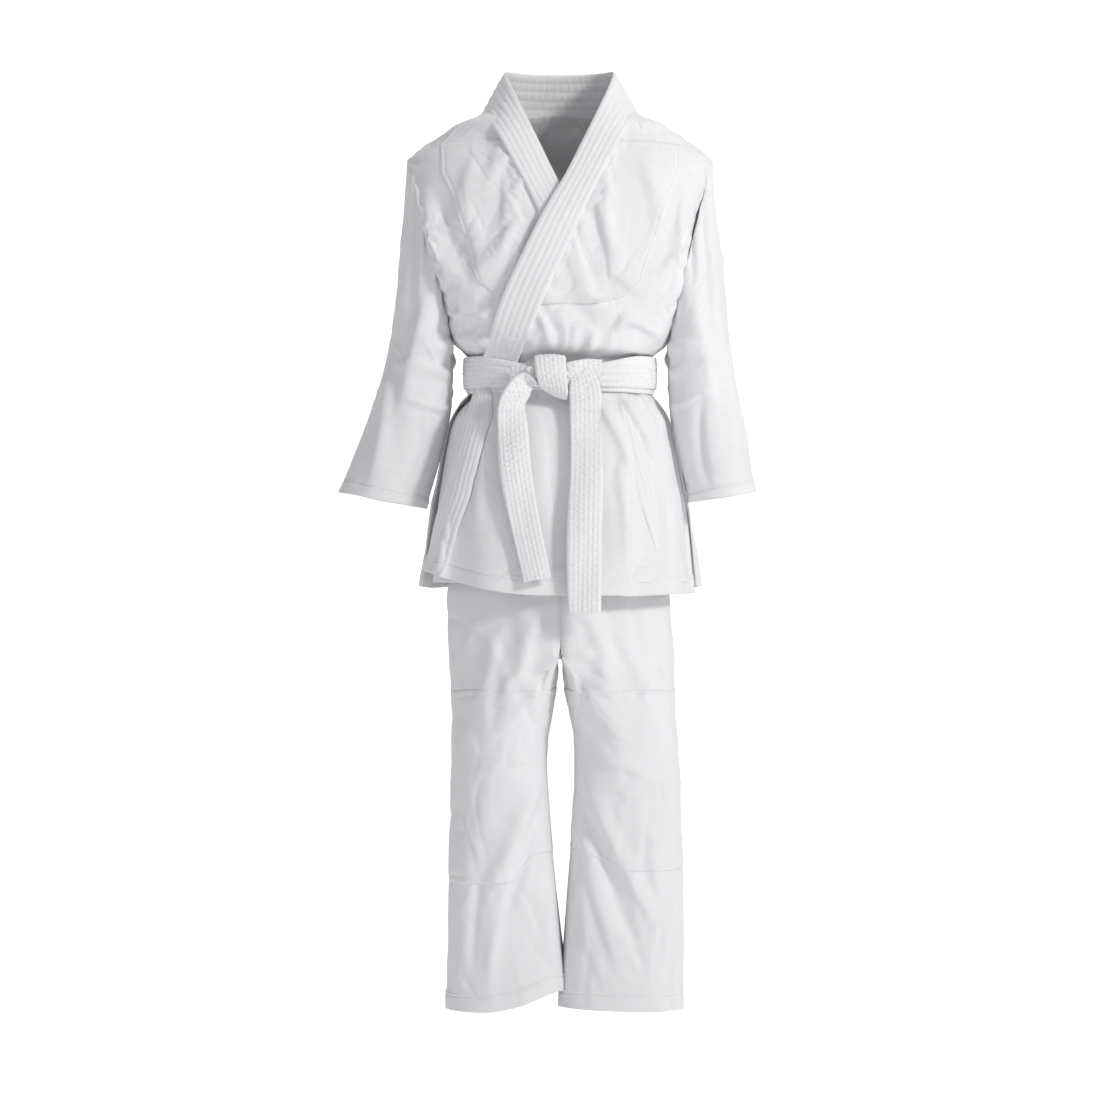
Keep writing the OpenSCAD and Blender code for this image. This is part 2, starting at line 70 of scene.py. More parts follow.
# Cross sections by height: z, half width, half depth, middle x, middle y
JACKET = np.array([
    [-372, 103, 72, 0, 0], [-318, 103, 73, 0, 0], [-311, 113, 86, 0, 0], [-302, 127, 94, 0, 0],
    [-288, 135, 99, 0, 0], [-250, 149, 102, 0, 0], [-200, 177, 102, 0, 0], [-150, 190, 100, 0, 0],
    [-100, 190, 94, 0, 0], [-66, 190, 86, 0, 0], [-50, 166, 80, 0, 0], [-30, 135, 72, 0, 0],
    [-10, 104, 62, 0, 0], [0, 91, 58, 0, 0], [45, 68, 48, 0, 2]], float)
SKIRT = np.array([
    [-616, 166, 122, 0, 0], [-500, 156, 116, 0, 0], [-430, 143, 109, 0, 0], [-395, 135, 102, 0, 0],
    [-376, 124, 94, 0, 0], [-362, 108, 79, 0, 0], [-340, 103, 73, 0, 0]], float)
TROUSERS = np.array([
    [-700, 147, 98, 0, 0], [-688, 146, 98, 0, 0], [-606, 145, 97, -2, 1], [-560, 134, 94, -1, 2],
    [-500, 118, 88, 0, 2], [-426, 103, 72, 0, 3], [-366, 96, 62, -4, 5], [-320, 95, 61, -4, 5]], float)

# The left lapel's free edge and seam, as z, x; the right lapel is the same, mirrored
LAPEL_FREE = np.array([
    [-616, -164], [-540, -150], [-372, -106], [-357, -100], [-316, -86], [-282, -78], [-250, -69],
    [-215, -53], [-173, -34], [-135, -16], [-104, 4], [0, 52]], float)
LAPEL_SEAM = np.array([
    [-616, -124], [-540, -108], [-372, -66], [-357, -60], [-316, -44], [-282, -30], [-250, -20],
    [-215, -4], [-173, 15], [-140, 28], [-20, 88], [0, 92]], float)

# Sleeve sections by side: outer x, outer z, inner x, inner z, half depth
SLEEVES = {
    1: [[190, -66, 135, -288, 60], [205, -160, 139, -310, 57], [214, -240, 142, -345, 55],
        [224, -320, 147, -390, 52], [238, -395, 156, -436, 48], [252, -481, 171, -494, 44]],
    -1: [[190, -66, 135, -288, 60], [203, -160, 139, -310, 57], [212, -240, 142, -346, 55],
         [226, -320, 147, -390, 52], [248, -390, 157, -434, 48], [284, -481, 177, -502, 44]],
}

# Leg sections by side: z, inner x, outer x, half depth, middle y, roundness
LEGS = {
    1: np.array([
        [-1140, 3, 159, 57, 0, 1], [-1084, 7, 159, 58, 0, 1], [-956, 17, 159, 61, 0, 1],
        [-906, 22, 157, 66, 0, 1], [-820, 26, 154, 75, 0, 1], [-780, 25, 152, 83, 0, 1],
        [-731, 12, 149, 92, 0, 0.5], [-700, 4, 147, 97, 0, 0.1], [-688, 1, 147, 98, 0, 0]], float),
    -1: np.array([
        [-1140, -6, 148, 57, 0, 1], [-1084, -3, 147, 58, 0, 1], [-956, 12, 144, 61, 0, 1],
        [-906, 18, 143, 66, 0, 1], [-820, 25, 139, 75, 0, 1], [-780, 21, 139, 83, 0, 1],
        [-731, 12, 141, 92, 0, 0.5], [-700, 4, 144, 97, 0, 0.1], [-688, 1, 145, 98, 0, 0]], float),
}

rng = np.random.default_rng(11)


# ---- Small mathematics ----

def mix(a, b, s):
    return a * (1 - s) + b * s


def ease(s):
    s = np.clip(s, 0, 1)
    return s * s * (3 - 2 * s)


def look(table, z, k=1, soft=7.0):
    """Column k of a table by height, rounded off over a few millimetres."""
    total = 0
    for step, weight in ((-2, 1), (-1, 4), (0, 6), (1, 4), (2, 1)):
        total = total + weight * np.interp(z + step * soft, table[:, 0], table[:, k])
    return total / 16


def signed_pow(v, p):
    return np.sign(v) * np.abs(v) ** p


def oval(table, t, z, off=0.0):
    """Points on a body of oval sections. t is in degrees: 0 is +X, 90 behind, 270 in front."""
    t = np.radians(t)
    x = (look(table, z, 1) + off) * signed_pow(np.cos(t), 2 / SQUARENESS) + look(table, z, 3)
    y = (look(table, z, 2) + off) * signed_pow(np.sin(t), 2 / SQUARENESS) + look(table, z, 4)
    return np.stack(np.broadcast_arrays(x, y, z), -1)


def front_angle(table, x, z):
    c = np.clip(np.abs(x) / look(table, z, 1), 0, 1) ** (SQUARENESS / 2)
    return np.where(x >= 0, 360 - np.degrees(np.arccos(c)), 180 + np.degrees(np.arccos(c)))


def seam_x(z):
    return np.interp(z, [ARMPIT_Z, SHOULDER_Z], [ARMPIT_X, SHOULDER_X])


def arm_angle(z):
    """Degrees from the side line to the armhole's edge."""
    c = np.clip(seam_x(z) / look(JACKET, z, 1), 0, 1) ** (SQUARENESS / 2)
    inside = (z < SHOULDER_Z) & (z > ARMPIT_Z)
    return np.where(inside, np.degrees(np.arccos(c)), 0.0)


def lapel_x(z, s):
    return mix(look(LAPEL_FREE, z), look(LAPEL_SEAM, z), s)


def over_layer(x):
    return 5.0 * ease((20 - x) / 60)


def under_layer(x):
    return -9 * ease((x + 70) / 66)


# ---- Folds ----

def fold_field(p, q, folds):
    """Height of a list of folds at flat coordinates p, q. A fold is
    (p0, q0, p1, q1, width, height, bend): a soft ridge, or a groove if its height is negative."""
    total = np.zeros(np.broadcast(p, q).shape)
    for p0, q0, p1, q1, width, height, bend in folds:
        length = math.hypot(p1 - p0, q1 - q0)
        ux, uy = (p1 - p0) / length, (q1 - q0) / length
        s = ((p - p0) * ux + (q - q0) * uy) / length
        d = (q - q0) * ux - (p - p0) * uy - bend * 4 * s * (1 - s)
        taper = ease(s / 0.35) * ease((1 - s) / 0.35)
        # one flank is steeper than the other, as on creased cotton
        lean = np.where(d > 0, width, width * 0.55)
        total += height * taper * np.exp(-(d / lean) ** 2)
    return total


def creases(count, p_range, q_range, angle, spread, length, width, height):
    """Random small folds, mostly along one direction. Half of them are grooves."""
    made = []
    for _ in range(count):
        a = math.radians(rng.normal(angle, spread))
        size = rng.uniform(*length)
        p, q = rng.uniform(*p_range), rng.uniform(*q_range)
        dp, dq = math.cos(a) * size / 2, math.sin(a) * size / 2
        side = 1 if rng.random() < 0.55 else -1
        made.append((p - dp, q - dq, p + dp, q + dq, rng.uniform(*width),
                     side * rng.uniform(*height), rng.normal(0, size * 0.06)))
    return made


def run_along(line):
    """How far each point lies along a line of points."""
    return np.concatenate([[0], np.cumsum(np.linalg.norm(np.diff(line, axis=0), axis=1))])


def groove(distance, width, depth):
    return -depth * np.exp(-(distance / width) ** 2)


def hem_height(inside, fold=HEM_FOLD):
    """Relief of a turned-up hem, by millimetres inside the edge."""
    return 1.5 * ease((fold - inside) / 1.6) + groove(inside - HEM_SEAM, 1.2, 1.3)


# ---- Grids ----

def shares(rows, columns):
    return np.meshgrid(np.linspace(0, 1, rows), np.linspace(0, 1, columns), indexing="ij")


def ring_shares(rows, columns):
    return np.meshgrid(np.linspace(0, 1, rows), np.arange(columns) / columns, indexing="ij")


def normals(grid, ring=False):
    """Outward unit normals of a grid whose rows run down and whose columns run with the angle."""
    if ring:
        across = np.roll(grid, -1, 1) - np.roll(grid, 1, 1)
    else:
        across = np.gradient(grid, axis=1)
    n = np.cross(np.gradient(grid, axis=0), across)
    size = np.linalg.norm(n, axis=-1, keepdims=True)
    return n / np.maximum(size, 1e-9)


def spline_weights(count, places, ring):
    """Matrix that takes count samples to the given places, from 0 to 1, along smooth curves."""
    fine = len(places)
    at = places * count if ring else places * (count - 1)
    base = np.floor(at).astype(int)
    s = at - base
    parts = ((-1, (-s + 2 * s ** 2 - s ** 3) / 2), (0, (2 - 5 * s ** 2 + 3 * s ** 3) / 2),
             (1, (s + 4 * s ** 2 - 3 * s ** 3) / 2), (2, (-s ** 2 + s ** 3) / 2))
    matrix = np.zeros((fine, count))
    for step, weight in parts:
        k = (base + step) % count if ring else np.clip(base + step, 0, count - 1)
        np.add.at(matrix, (np.arange(fine), k), weight)
    return matrix


def refine(field, down_places, across_places, ring=False):
    down = spline_weights(field.shape[0], down_places, False)
    across = spline_weights(field.shape[1], across_places, ring)
    return np.einsum("ai,bj,ijk->abk", down, across, field)


def sample(grid, u, v, ring=False):
    """A grid's points at shares u down and v across."""
    rows, columns = grid.shape[:2]
    fi = np.clip(u, 0, 1) * (rows - 1)
    i = np.minimum(fi.astype(int), rows - 2)
    if ring:
        fj = (v % 1) * columns
        j = fj.astype(int) % columns
        k = (j + 1) % columns
    else:
        fj = np.clip(v, 0, 1) * (columns - 1)
        j = np.minimum(fj.astype(int), columns - 2)
        k = j + 1
    a, b = (fi - i)[..., None], (fj - np.floor(fj) if ring else fj - j)[..., None]
    return mix(mix(grid[i, j], grid[i + 1, j], a), mix(grid[i, k], grid[i + 1, k], a), b)


# ---- Meshes ----

def add_mesh(name, points, faces, material, uv=None):
    mesh = bpy.data.meshes.new(name)
    mesh.from_pydata((points * MM).tolist(), [], faces.tolist())
    if uv is not None:
        layer = mesh.uv_layers.new(name="cloth")
        index = np.empty(len(mesh.loops), int)
        mesh.loops.foreach_get("vertex_index", index)
        layer.data.foreach_set("uv", (uv[index] * MM).astype(np.float32).ravel())
    mesh.polygons.foreach_set("use_smooth", [True] * len(mesh.polygons))
    mesh.materials.append(material)
    mesh.update()
    thing = bpy.data.objects.new(name, mesh)
    bpy.context.scene.collection.objects.link(thing)
    return thing


def flat_coordinates(grid):
    """Lengths along the rows and the columns, in millimetres, for the weave."""
    across = np.linalg.norm(np.diff(grid, axis=1), axis=2).mean(0)
    down = np.linalg.norm(np.diff(grid, axis=0), axis=2).mean(1)
    p = np.concatenate([[0], np.cumsum(across)])
    q = np.concatenate([[0], np.cumsum(down)])
    return np.stack(np.meshgrid(q, p, indexing="ij")[::-1], -1)


def grid_faces(rows, columns, ring, keep):
    """The corners of each cell of a grid. keep says which cells exist."""
    cells = columns if ring else columns - 1
    i, j = np.meshgrid(np.arange(rows - 1), np.arange(cells), indexing="ij")
    if keep is not None:
        i, j = i[keep], j[keep]
    i, j = i.ravel(), j.ravel()
    k = (j + 1) % columns
    return np.stack([i * columns + j, (i + 1) * columns + j, (i + 1) * columns + k, i * columns + k], 1)


def add_shell(name, outer, inner, material, ring=False, keep=None):
    """A closed shell between two grids. keep says which cells of the grid exist."""
    rows, columns = outer.shape[:2]
    front = grid_faces(rows, columns, ring, keep)
    far = rows * columns
    edges = np.concatenate([front[:, [n, (n + 1) % 4]] for n in range(4)])
    code = edges[:, 0] * far + edges[:, 1]
    rim = edges[~np.isin(code, edges[:, 1] * far + edges[:, 0])]
    walls = np.stack([rim[:, 1], rim[:, 0], rim[:, 0] + far, rim[:, 1] + far], 1)
    faces = np.concatenate([front, front[:, ::-1] + far, walls])
    points = np.concatenate([outer.reshape(-1, 3), inner.reshape(-1, 3)])
    flat = flat_coordinates(outer).reshape(-1, 2)
    uv = np.concatenate([flat, flat])
    used, index = np.unique(faces, return_inverse=True)
    return add_mesh(name, points[used], index.reshape(faces.shape), material, uv[used])


# ---- Cloth simulation ----

def drape(start, pins, ring=False, growth=0.03, cap=8.0, frames=14, keep=None):
    """Lets a grid of cloth sag and buckle, and returns how far each point moved.
    pins is 1 where the cloth is sewn down and 0 where it is free."""
    scene = bpy.context.scene
    rows, columns = start.shape[:2]
    faces = grid_faces(rows, columns, ring, keep)
    mesh = bpy.data.meshes.new("drape")
    mesh.from_pydata((start.reshape(-1, 3) * MM).tolist(), [], faces.tolist())
    thing = bpy.data.objects.new("drape", mesh)
    scene.collection.objects.link(thing)
    group = thing.vertex_groups.new(name="pins")
    loose = np.ones(rows * columns, bool)
    loose[faces.ravel()] = False
    weight = np.where(loose, 1.0, pins.ravel())
    for n, w in enumerate(weight):
        if w > 0.01:
            group.add([n], float(w), "REPLACE")
    cloth = thing.modifiers.new("cloth", "CLOTH")
    cloth.settings.vertex_group_mass = "pins"
    cloth.settings.quality = 6
    cloth.settings.mass = 0.15
    cloth.settings.tension_stiffness = 25
    cloth.settings.compression_stiffness = 25
    cloth.settings.shear_stiffness = 12
    cloth.settings.bending_stiffness = 1.2
    cloth.settings.shrink_min = -growth
    cloth.settings.air_damping = 2.0
    cloth.collision_settings.use_collision = False
    cloth.point_cache.frame_start, cloth.point_cache.frame_end = 1, frames
    for number in range(1, frames + 1):
        scene.frame_set(number)
    posed = thing.evaluated_get(bpy.context.evaluated_depsgraph_get())
    flat = np.empty(rows * columns * 3, np.float32)
    posed.data.vertices.foreach_get("co", flat)
    bpy.data.objects.remove(thing)
    bpy.data.meshes.remove(mesh)
    scene.frame_set(1)
    moved = flat.reshape(rows, columns, 3) / MM - start
    size = np.linalg.norm(moved, axis=-1, keepdims=True)
    return moved * cap * np.tanh(size / cap) / np.maximum(size, 1e-9)


class Sheet:
    """A sheet of cloth: a fine grid, its normals and its shell in the scene."""

    def __init__(self, name, make, size, pins, material, relief=None, thick=1.4,
                 ring=False, growth=0.03, cap=8.0, keep=None, coarse=3, hem=0.0):
        grid = ring_shares if ring else shares
        rows, columns = size
        u, v = grid(rows // coarse, columns // coarse)
        start = make(u, v)
        small_keep = None if keep is None else keep(u, v)[:-1, :]
        moved = drape(start, pins(u, v), ring, growth, cap, keep=small_keep)
        self.u, self.v = grid(rows, columns)
        self.row_places = self.u[:, 0]
        if hem:
            # the hem gets a fifth of the rows, because its fold and its stitching are small
            dense = rows // 5
            body = np.linspace(0, 1 - hem, rows - dense, endpoint=False)
            self.row_places = np.concatenate([body, np.linspace(1 - hem, 1, dense)])
            self.u = np.repeat(self.row_places[:, None], columns, 1)
        self.base = make(self.u, self.v)
        self.ring = ring
        self.grid = self.base + refine(moved, self.row_places, self.v[0], ring)
        self.normal = normals(self.grid, ring)
        lift = 0 if relief is None else relief(self.u, self.v)[..., None]
        self.outer = self.grid + self.normal * (thick / 2 + lift)
        inner = self.grid - self.normal * thick / 2
        self.cells = None if keep is None else keep(self.u, self.v)[:-1, :]
        self.thing = add_shell(name, self.outer, inner, material, ring, self.cells)

    def pick(self, field, u, v):
        """A field of the fine grid at shares u and v."""
        rows = np.interp(u, self.row_places, np.linspace(0, 1, len(self.row_places)))
        return sample(field, rows, v, self.ring)

    def at(self, u, v, lift=0.0):
        """A point on the outside, raised along the normal."""
        n = self.pick(self.normal, u, v)
        return self.pick(self.outer, u, v) + n * np.asarray(lift)[..., None]


# ---- Materials ----

def cotton(name, colour, grain, depth, stretch=1.0, sheen=0.2):
    """White cotton: a raised weave, a fine crumple and a slightly uneven colour."""
    material = bpy.data.materials.new(name)
    material.use_nodes = True
    tree = material.node_tree
    link = tree.links.new

    def set_inputs(made, values):
        for socket, value in values.items():
            made.inputs[socket].default_value = value

    def add(kind, **values):
        made = tree.nodes.new("ShaderNode" + kind)
        set_inputs(made, values)
        return made

    shader = tree.nodes["Principled BSDF"]
    set_inputs(shader, {"Roughness": 0.86, "Sheen Weight": sheen, "Sheen Roughness": 0.45,
                        "Specular IOR Level": 0.25})
    flat = add("UVMap")
    flat.uv_map = "cloth"
    scale = add("Mapping", Scale=(1 / (grain * MM), 1 / (grain * stretch * MM), 1))
    link(flat.outputs["UV"], scale.inputs["Vector"])
    weave = add("TexVoronoi", Scale=1.0, Randomness=0.22)
    link(scale.outputs["Vector"], weave.inputs["Vector"])
    place = add("TexCoord")
    crumple = add("TexNoise", Scale=95.0, Detail=5.0, Roughness=0.55)
    link(place.outputs["Object"], crumple.inputs["Vector"])
    grains = add("Bump", Strength=depth, Distance=grain * MM * 0.3)
    grains.invert = True
    link(weave.outputs["Distance"], grains.inputs["Height"])
    rumple = add("Bump", Strength=0.16, Distance=0.0012)
    link(crumple.outputs["Fac"], rumple.inputs["Height"])
    link(grains.outputs["Normal"], rumple.inputs["Normal"])
    link(rumple.outputs["Normal"], shader.inputs["Normal"])
    blotch = add("TexNoise", Scale=9.0, Detail=6.0)
    link(place.outputs["Object"], blotch.inputs["Vector"])
    ramp = add("ValToRGB")
    ramp.color_ramp.elements[0].position, ramp.color_ramp.elements[1].position = 0.3, 0.7
    ramp.color_ramp.elements[0].color = (*[c * 0.965 for c in colour], 1)
    ramp.color_ramp.elements[1].color = (*colour, 1)
    link(blotch.outputs["Fac"], ramp.inputs["Fac"])
    dirt = add("Mix")
    dirt.data_type, dirt.blend_type = "RGBA", "MULTIPLY"
    dirt.inputs[0].default_value = 0.05
    link(ramp.outputs["Color"], dirt.inputs[6])
    link(weave.outputs["Color"], dirt.inputs[7])
    grey = add("HueSaturation", Saturation=0.25)
    link(dirt.outputs[2], grey.inputs["Color"])
    link(grey.outputs["Color"], shader.inputs["Base Color"])
    return material


JACKET_CLOTH = cotton("jacket_cloth", (0.865, 0.86, 0.905), 1.5, 0.4, 1.7)
QUILT_CLOTH = cotton("quilted_collar", (0.885, 0.88, 0.92), 0.9, 0.4)
BELT_CLOTH = cotton("belt_cotton", (0.90, 0.895, 0.93), 0.9, 0.4)
TROUSER_CLOTH = cotton("trouser_cloth", (0.86, 0.855, 0.90), 0.8, 0.35)
THREAD = cotton("sewing_thread", (0.90, 0.90, 0.92), 0.3, 0.2)


# ---- Camera, lights and floor ----

def make_camera():
    data = bpy.data.cameras.new("camera")
    data.lens, data.sensor_width = 94.25, 36
    camera = bpy.data.objects.new("camera", data)
    camera.location = (-0.0125, -3.6, -0.556)
    camera.rotation_euler = (math.pi / 2, 0, 0)
    bpy.context.scene.collection.objects.link(camera)
    bpy.context.scene.camera = camera


def area_light(name, place, target, size, power, colour=(1, 1, 1)):
    data = bpy.data.lights.new(name, "AREA")
    data.shape, data.size, data.energy, data.color = "DISK", size, power, colour
    light = bpy.data.objects.new(name, data)
    light.location = place
    light.rotation_euler = (Vector(target) - Vector(place)).to_track_quat("-Z", "Y").to_euler()
    bpy.context.scene.collection.objects.link(light)


def make_studio():
    area_light("key", (2.1, -1.9, 1.0), (0, 0, -0.5), 0.6, 47, (1, 0.995, 0.985))
    area_light("fill", (-2.6, -2.4, 0.2), (0, 0, -0.6), 2.2, 4, (0.95, 0.97, 1))
    area_light("top", (0.2, 0.4, 2.2), (0, 0, -0.4), 1.6, 10)
    world = bpy.data.worlds.new("studio")
    world.use_nodes = True
    world.node_tree.nodes["Background"].inputs["Color"].default_value = (0.96, 0.97, 1, 1)
    world.node_tree.nodes["Background"].inputs["Strength"].default_value = 0.38
    bpy.context.scene.world = world
    bpy.context.scene.view_settings.view_transform = "Standard"
    floor_z = -1.225
    steps = [(-9, floor_z), (4.4, floor_z)]
    steps += [(4.4 + 0.8 * math.sin(a), floor_z + 0.8 - 0.8 * math.cos(a))
              for a in np.linspace(0.1, math.pi / 2, 12)]
    steps.append((5.2, 6))
    points = np.array([(x, y, z) for y, z in steps for x in (-9, 9)]) / MM
    faces = np.array([(2 * n, 2 * n + 1, 2 * n + 3, 2 * n + 2) for n in range(len(steps) - 1)])
    paper = bpy.data.materials.new("paper")
    paper.use_nodes = True
    shader = paper.node_tree.nodes["Principled BSDF"]
    shader.inputs["Base Color"].default_value = (0.93, 0.93, 0.93, 1)
    shader.inputs["Roughness"].default_value = 0.9
    shader.inputs["Emission Color"].default_value = (1, 1, 1, 1)
    # the paper glows for the camera alone, so that it doesn't flood the cloth with light
    rays = paper.node_tree.nodes.new("ShaderNodeLightPath")
    glow = paper.node_tree.nodes.new("ShaderNodeMath")
    glow.operation = "MULTIPLY_ADD"
    glow.inputs[1].default_value, glow.inputs[2].default_value = 0.55, 0.2
    paper.node_tree.links.new(rays.outputs["Is Camera Ray"], glow.inputs[0])
    paper.node_tree.links.new(glow.outputs[0], shader.inputs["Emission Strength"])
    add_mesh("backdrop", points, faces, paper)


make_camera()
make_studio()


# ---- Helpers for the pieces ----


def declare_cut(thing, grid, ring=False, cells=None):
    """Works out the area of a piece of cloth that was cut to the size of a grid, and keeps it nowhere. The
    bands and gussets aren't draped and give their own middle."""
    if ring:
        grid = np.concatenate([grid, grid[:, :1]], 1)
    across = np.linalg.norm(np.diff(grid, axis=1), axis=2)
    down = np.linalg.norm(np.diff(grid, axis=0), axis=2)
    one, other = grid[1:, 1:] - grid[:-1, :-1], grid[1:, :-1] - grid[:-1, 1:]
    area = np.linalg.norm(np.cross(one, other), axis=2) / 2
    area = float((area if cells is None else area * cells).sum()) * MM ** 2


def declare(sheet):
    """Works out the area of a sheet of cloth at the flat size that it has before it is draped."""
    declare_cut(sheet.thing, sheet.base, sheet.ring, sheet.cells)


def wear(thing, body):
    """Fixes a piece to a body."""
    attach(thing, body)


def edge_pins(u, v, top=0.03, low=0.0, left=0.03, right=0.03):
    """1 along the sewn edges of a grid, fading to 0 inside it."""
    def near(d, width):
        return ease(1 - d / width) if width else np.zeros_like(d)
    return np.clip(near(u, top) + near(1 - u, low) + near(v, left) + near(1 - v, right), 0, 1)


def raise_folds(grid, height, ring=False):
    return grid + normals(grid, ring) * height[..., None]


def add_stitches(name, points, normal, pitch=3.6, size=2.3, width=0.55):
    """Small raised stitches along one or more lines of points."""
    shape = [(-0.5, 0, 0), (-0.32, 0.5, 0.0), (0.32, 0.5, 0.0), (0.5, 0, 0), (0.32, -0.5, 0.0),
             (-0.32, -0.5, 0.0), (-0.25, 0, 0.6), (0.25, 0, 0.6)]
    around = [(0, 1, 6), (1, 2, 7, 6), (2, 3, 7), (3, 4, 7), (4, 5, 6, 7), (5, 0, 6), (5, 4, 3, 2, 1, 0)]
    all_points, all_faces = [], []
    for line, up in zip(points, normal):
        run = run_along(line)
        places = np.arange(pitch / 2, run[-1], pitch)
        middle = np.stack([np.interp(places, run, line[:, k]) for k in range(3)], 1)
        ahead = np.stack([np.interp(places + 0.5, run, line[:, k]) for k in range(3)], 1)
        back = np.stack([np.interp(places - 0.5, run, line[:, k]) for k in range(3)], 1)
        n = np.stack([np.interp(places, run, up[:, k]) for k in range(3)], 1)
        t = ahead - back
        t /= np.maximum(np.linalg.norm(t, axis=1, keepdims=True), 1e-9)
        b = np.cross(n, t)
        for m, d, s, o in zip(middle, t, b, n):
            first = len(all_points)
            for x, y, z in shape:
                all_points.append(m + d * x * size + s * y * width + o * z * width)
            all_faces += [tuple(first + k for k in face) for face in around]
    mesh = bpy.data.meshes.new(name)
    mesh.from_pydata((np.array(all_points) * MM).tolist(), [], all_faces)
    mesh.materials.append(THREAD)
    thing = bpy.data.objects.new(name, mesh)
    bpy.context.scene.collection.objects.link(thing)
    return thing


def stitch_lines(sheet, lines, count=160, lift=0.05):
    """Points and normals of stitch lines given as functions of s that return (u, v)."""
    s = np.linspace(0, 1, count)
    points, ups = [], []
    for line in lines:
        u, v = (np.broadcast_to(np.asarray(c, float), s.shape) for c in line(s))
        points.append(sheet.at(u, v, np.full(s.shape, lift)))
        ups.append(sheet.pick(sheet.normal, u, v))
    return points, ups


def hem_rows(places, length):
    """Stitch rows at some millimetres from the lower edge of a sheet."""
    return [lambda s, up=up: (1 - up / length, s) for up in places]


# ---- Jacket body ----

def jacket_z(u):
    return mix(NECK_Z, WAIST_Z, u)


def jacket_u(z):
    return (z - NECK_Z) / (WAIST_Z - NECK_Z)


BACK_FOLDS = [
    (-60, -240, -150, -300, 14, 4, 8), (60, -245, 150, -305, 14, 4, -8),
    (-20, -200, -30, -318, 12, 4, 4), (35, -210, 22, -318, 12, 4, -6),
    (-120, -110, -70, -190, 18, 4, 8), (125, -115, 80, -200, 18, 4, -8),
    (-90, -290, 10, -306, 10, 5, 4), (10, -300, 100, -288, 10, 5, 4),
    (-60, -60, 60, -70, 14, 2.5, -6),
] + creases(46, (-150, 150), (-320, -30), 80, 30, (40, 120), (4, 9), (0.4, 1.4))

LEFT_FOLDS = [
    (60, -268, 130, -300, 11, 6, 6), (15, -306, 115, -312, 8, 5, 5), (-28, -262, -12, -318, 8, 5, 3),
    (2, -268, 2, -318, 7, 5, 2), (22, -272, 14, -318, 7, 4, -3), (46, -282, 30, -318, 7, 4, -3),
    (150, -110, 118, -285, 14, 8, 10), (168, -100, 150, -230, 12, -6, 6), (92, -60, 120, -190, 16, 4, 12),
    (70, -80, 60, -200, 14, 3, -8), (40, -120, 66, -235, 12, 3, 8), (30, -205, 110, -246, 14, 3, 8),
    (88, -262, 50, -318, 9, 4, -5),
] + creases(52, (-60, 170), (-320, -30), 95, 34, (35, 110), (3.5, 8), (0.4, 1.3))

RIGHT_FOLDS = [
    (-176, -84, -113, -286, 12, 9, -8), (-160, -96, -96, -250, 12, -5, -6), (-137, -268, -76, -276, 8, 7, 5),
    (-130, -296, -80, -304, 8, 6, 4), (-100, -290, -78, -318, 7, 4, 2), (-98, -60, -120, -180, 16, 4, -10),
    (-70, -90, -72, -210, 12, 3, 6), (-115, -120, -85, -230, 12, 3, -6), (-60, -60, -40, -120, 10, 3, 4),
] + creases(46, (-170, -10), (-320, -30), 85, 34, (35, 110), (3.5, 8), (0.4, 1.3))


def under_band(grid):
    """The top of a sheet sinks in where the collar band is sewn over it."""
    near = ease((grid[..., 2] + 32) / 26)[..., None]
    side = ease(np.abs(grid[..., 0]) / 60)
    pull = np.stack([-6 * np.sign(grid[..., 0]) * side, np.where(grid[..., 1] > 0, -2, 5) + 0 * side,
                     -4 * side], -1)
    return grid + pull * near


def back_spot(u, v):
    z = jacket_z(u)
    edge = arm_angle(z)
    return under_band(oval(JACKET, mix(edge, 180 - edge, v), z))


def back_make(u, v):
    grid = back_spot(u, v)
    seam = groove(grid[..., 0], 3.0, 0.9)
    return raise_folds(grid, fold_field(grid[..., 0], grid[..., 2], BACK_FOLDS) + seam)


def left_make(u, v):
    z = jacket_z(u)
    t = mix(front_angle(JACKET, lapel_x(z, FREE_EDGE), z), 360 - arm_angle(z), v)
    x = oval(JACKET, t, z)[..., 0]
    grid = under_band(oval(JACKET, t, z, over_layer(x)))
    sewn = ease((v - 0.02) / 0.16)
    return raise_folds(grid, fold_field(grid[..., 0], grid[..., 2], LEFT_FOLDS) * sewn)


def right_make(u, v):
    z = jacket_z(u)
    t = mix(180 + arm_angle(z), front_angle(JACKET, -lapel_x(z, FREE_EDGE), z), v)
    x = oval(JACKET, t, z)[..., 0]
    grid = under_band(oval(JACKET, t, z, under_layer(x)))
    free = 1 - ease((x + 60) / 40)
    return raise_folds(grid, fold_field(grid[..., 0], grid[..., 2], RIGHT_FOLDS) * free)


def fine(rows, columns):
    """Grid sizes, as whole numbers, at their full size."""
    share = 1.0
    return int(rows * share), int(columns * share)


back = Sheet("jacket_back", back_make, fine(144, 216),
             lambda u, v: edge_pins(u, v, 0.12, 0.06, 0.03, 0.03), JACKET_CLOTH, growth=0.028, cap=7)
front_left = Sheet("jacket_front_left", left_make, fine(144, 150),
                   lambda u, v: edge_pins(u, v, 0.14, 0.06, 0.24, 0.04), JACKET_CLOTH, growth=0.028, cap=6)
front_right = Sheet("jacket_front_right", right_make, fine(144, 150),
                    lambda u, v: np.maximum(edge_pins(u, v, 0.14, 0.06, 0.04, 0.3),
                                            ease((right_make(u, v)[..., 0] + 70) / 30)),
                    JACKET_CLOTH, growth=0.028, cap=6)

for sheet in (back, front_left, front_right):
    wear(sheet.thing, "jacket")
    declare(sheet)
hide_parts("back_panel_left", "back_panel_right")
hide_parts("front_panel_left")
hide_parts("front_panel_right")


# ---- Sleeves ----

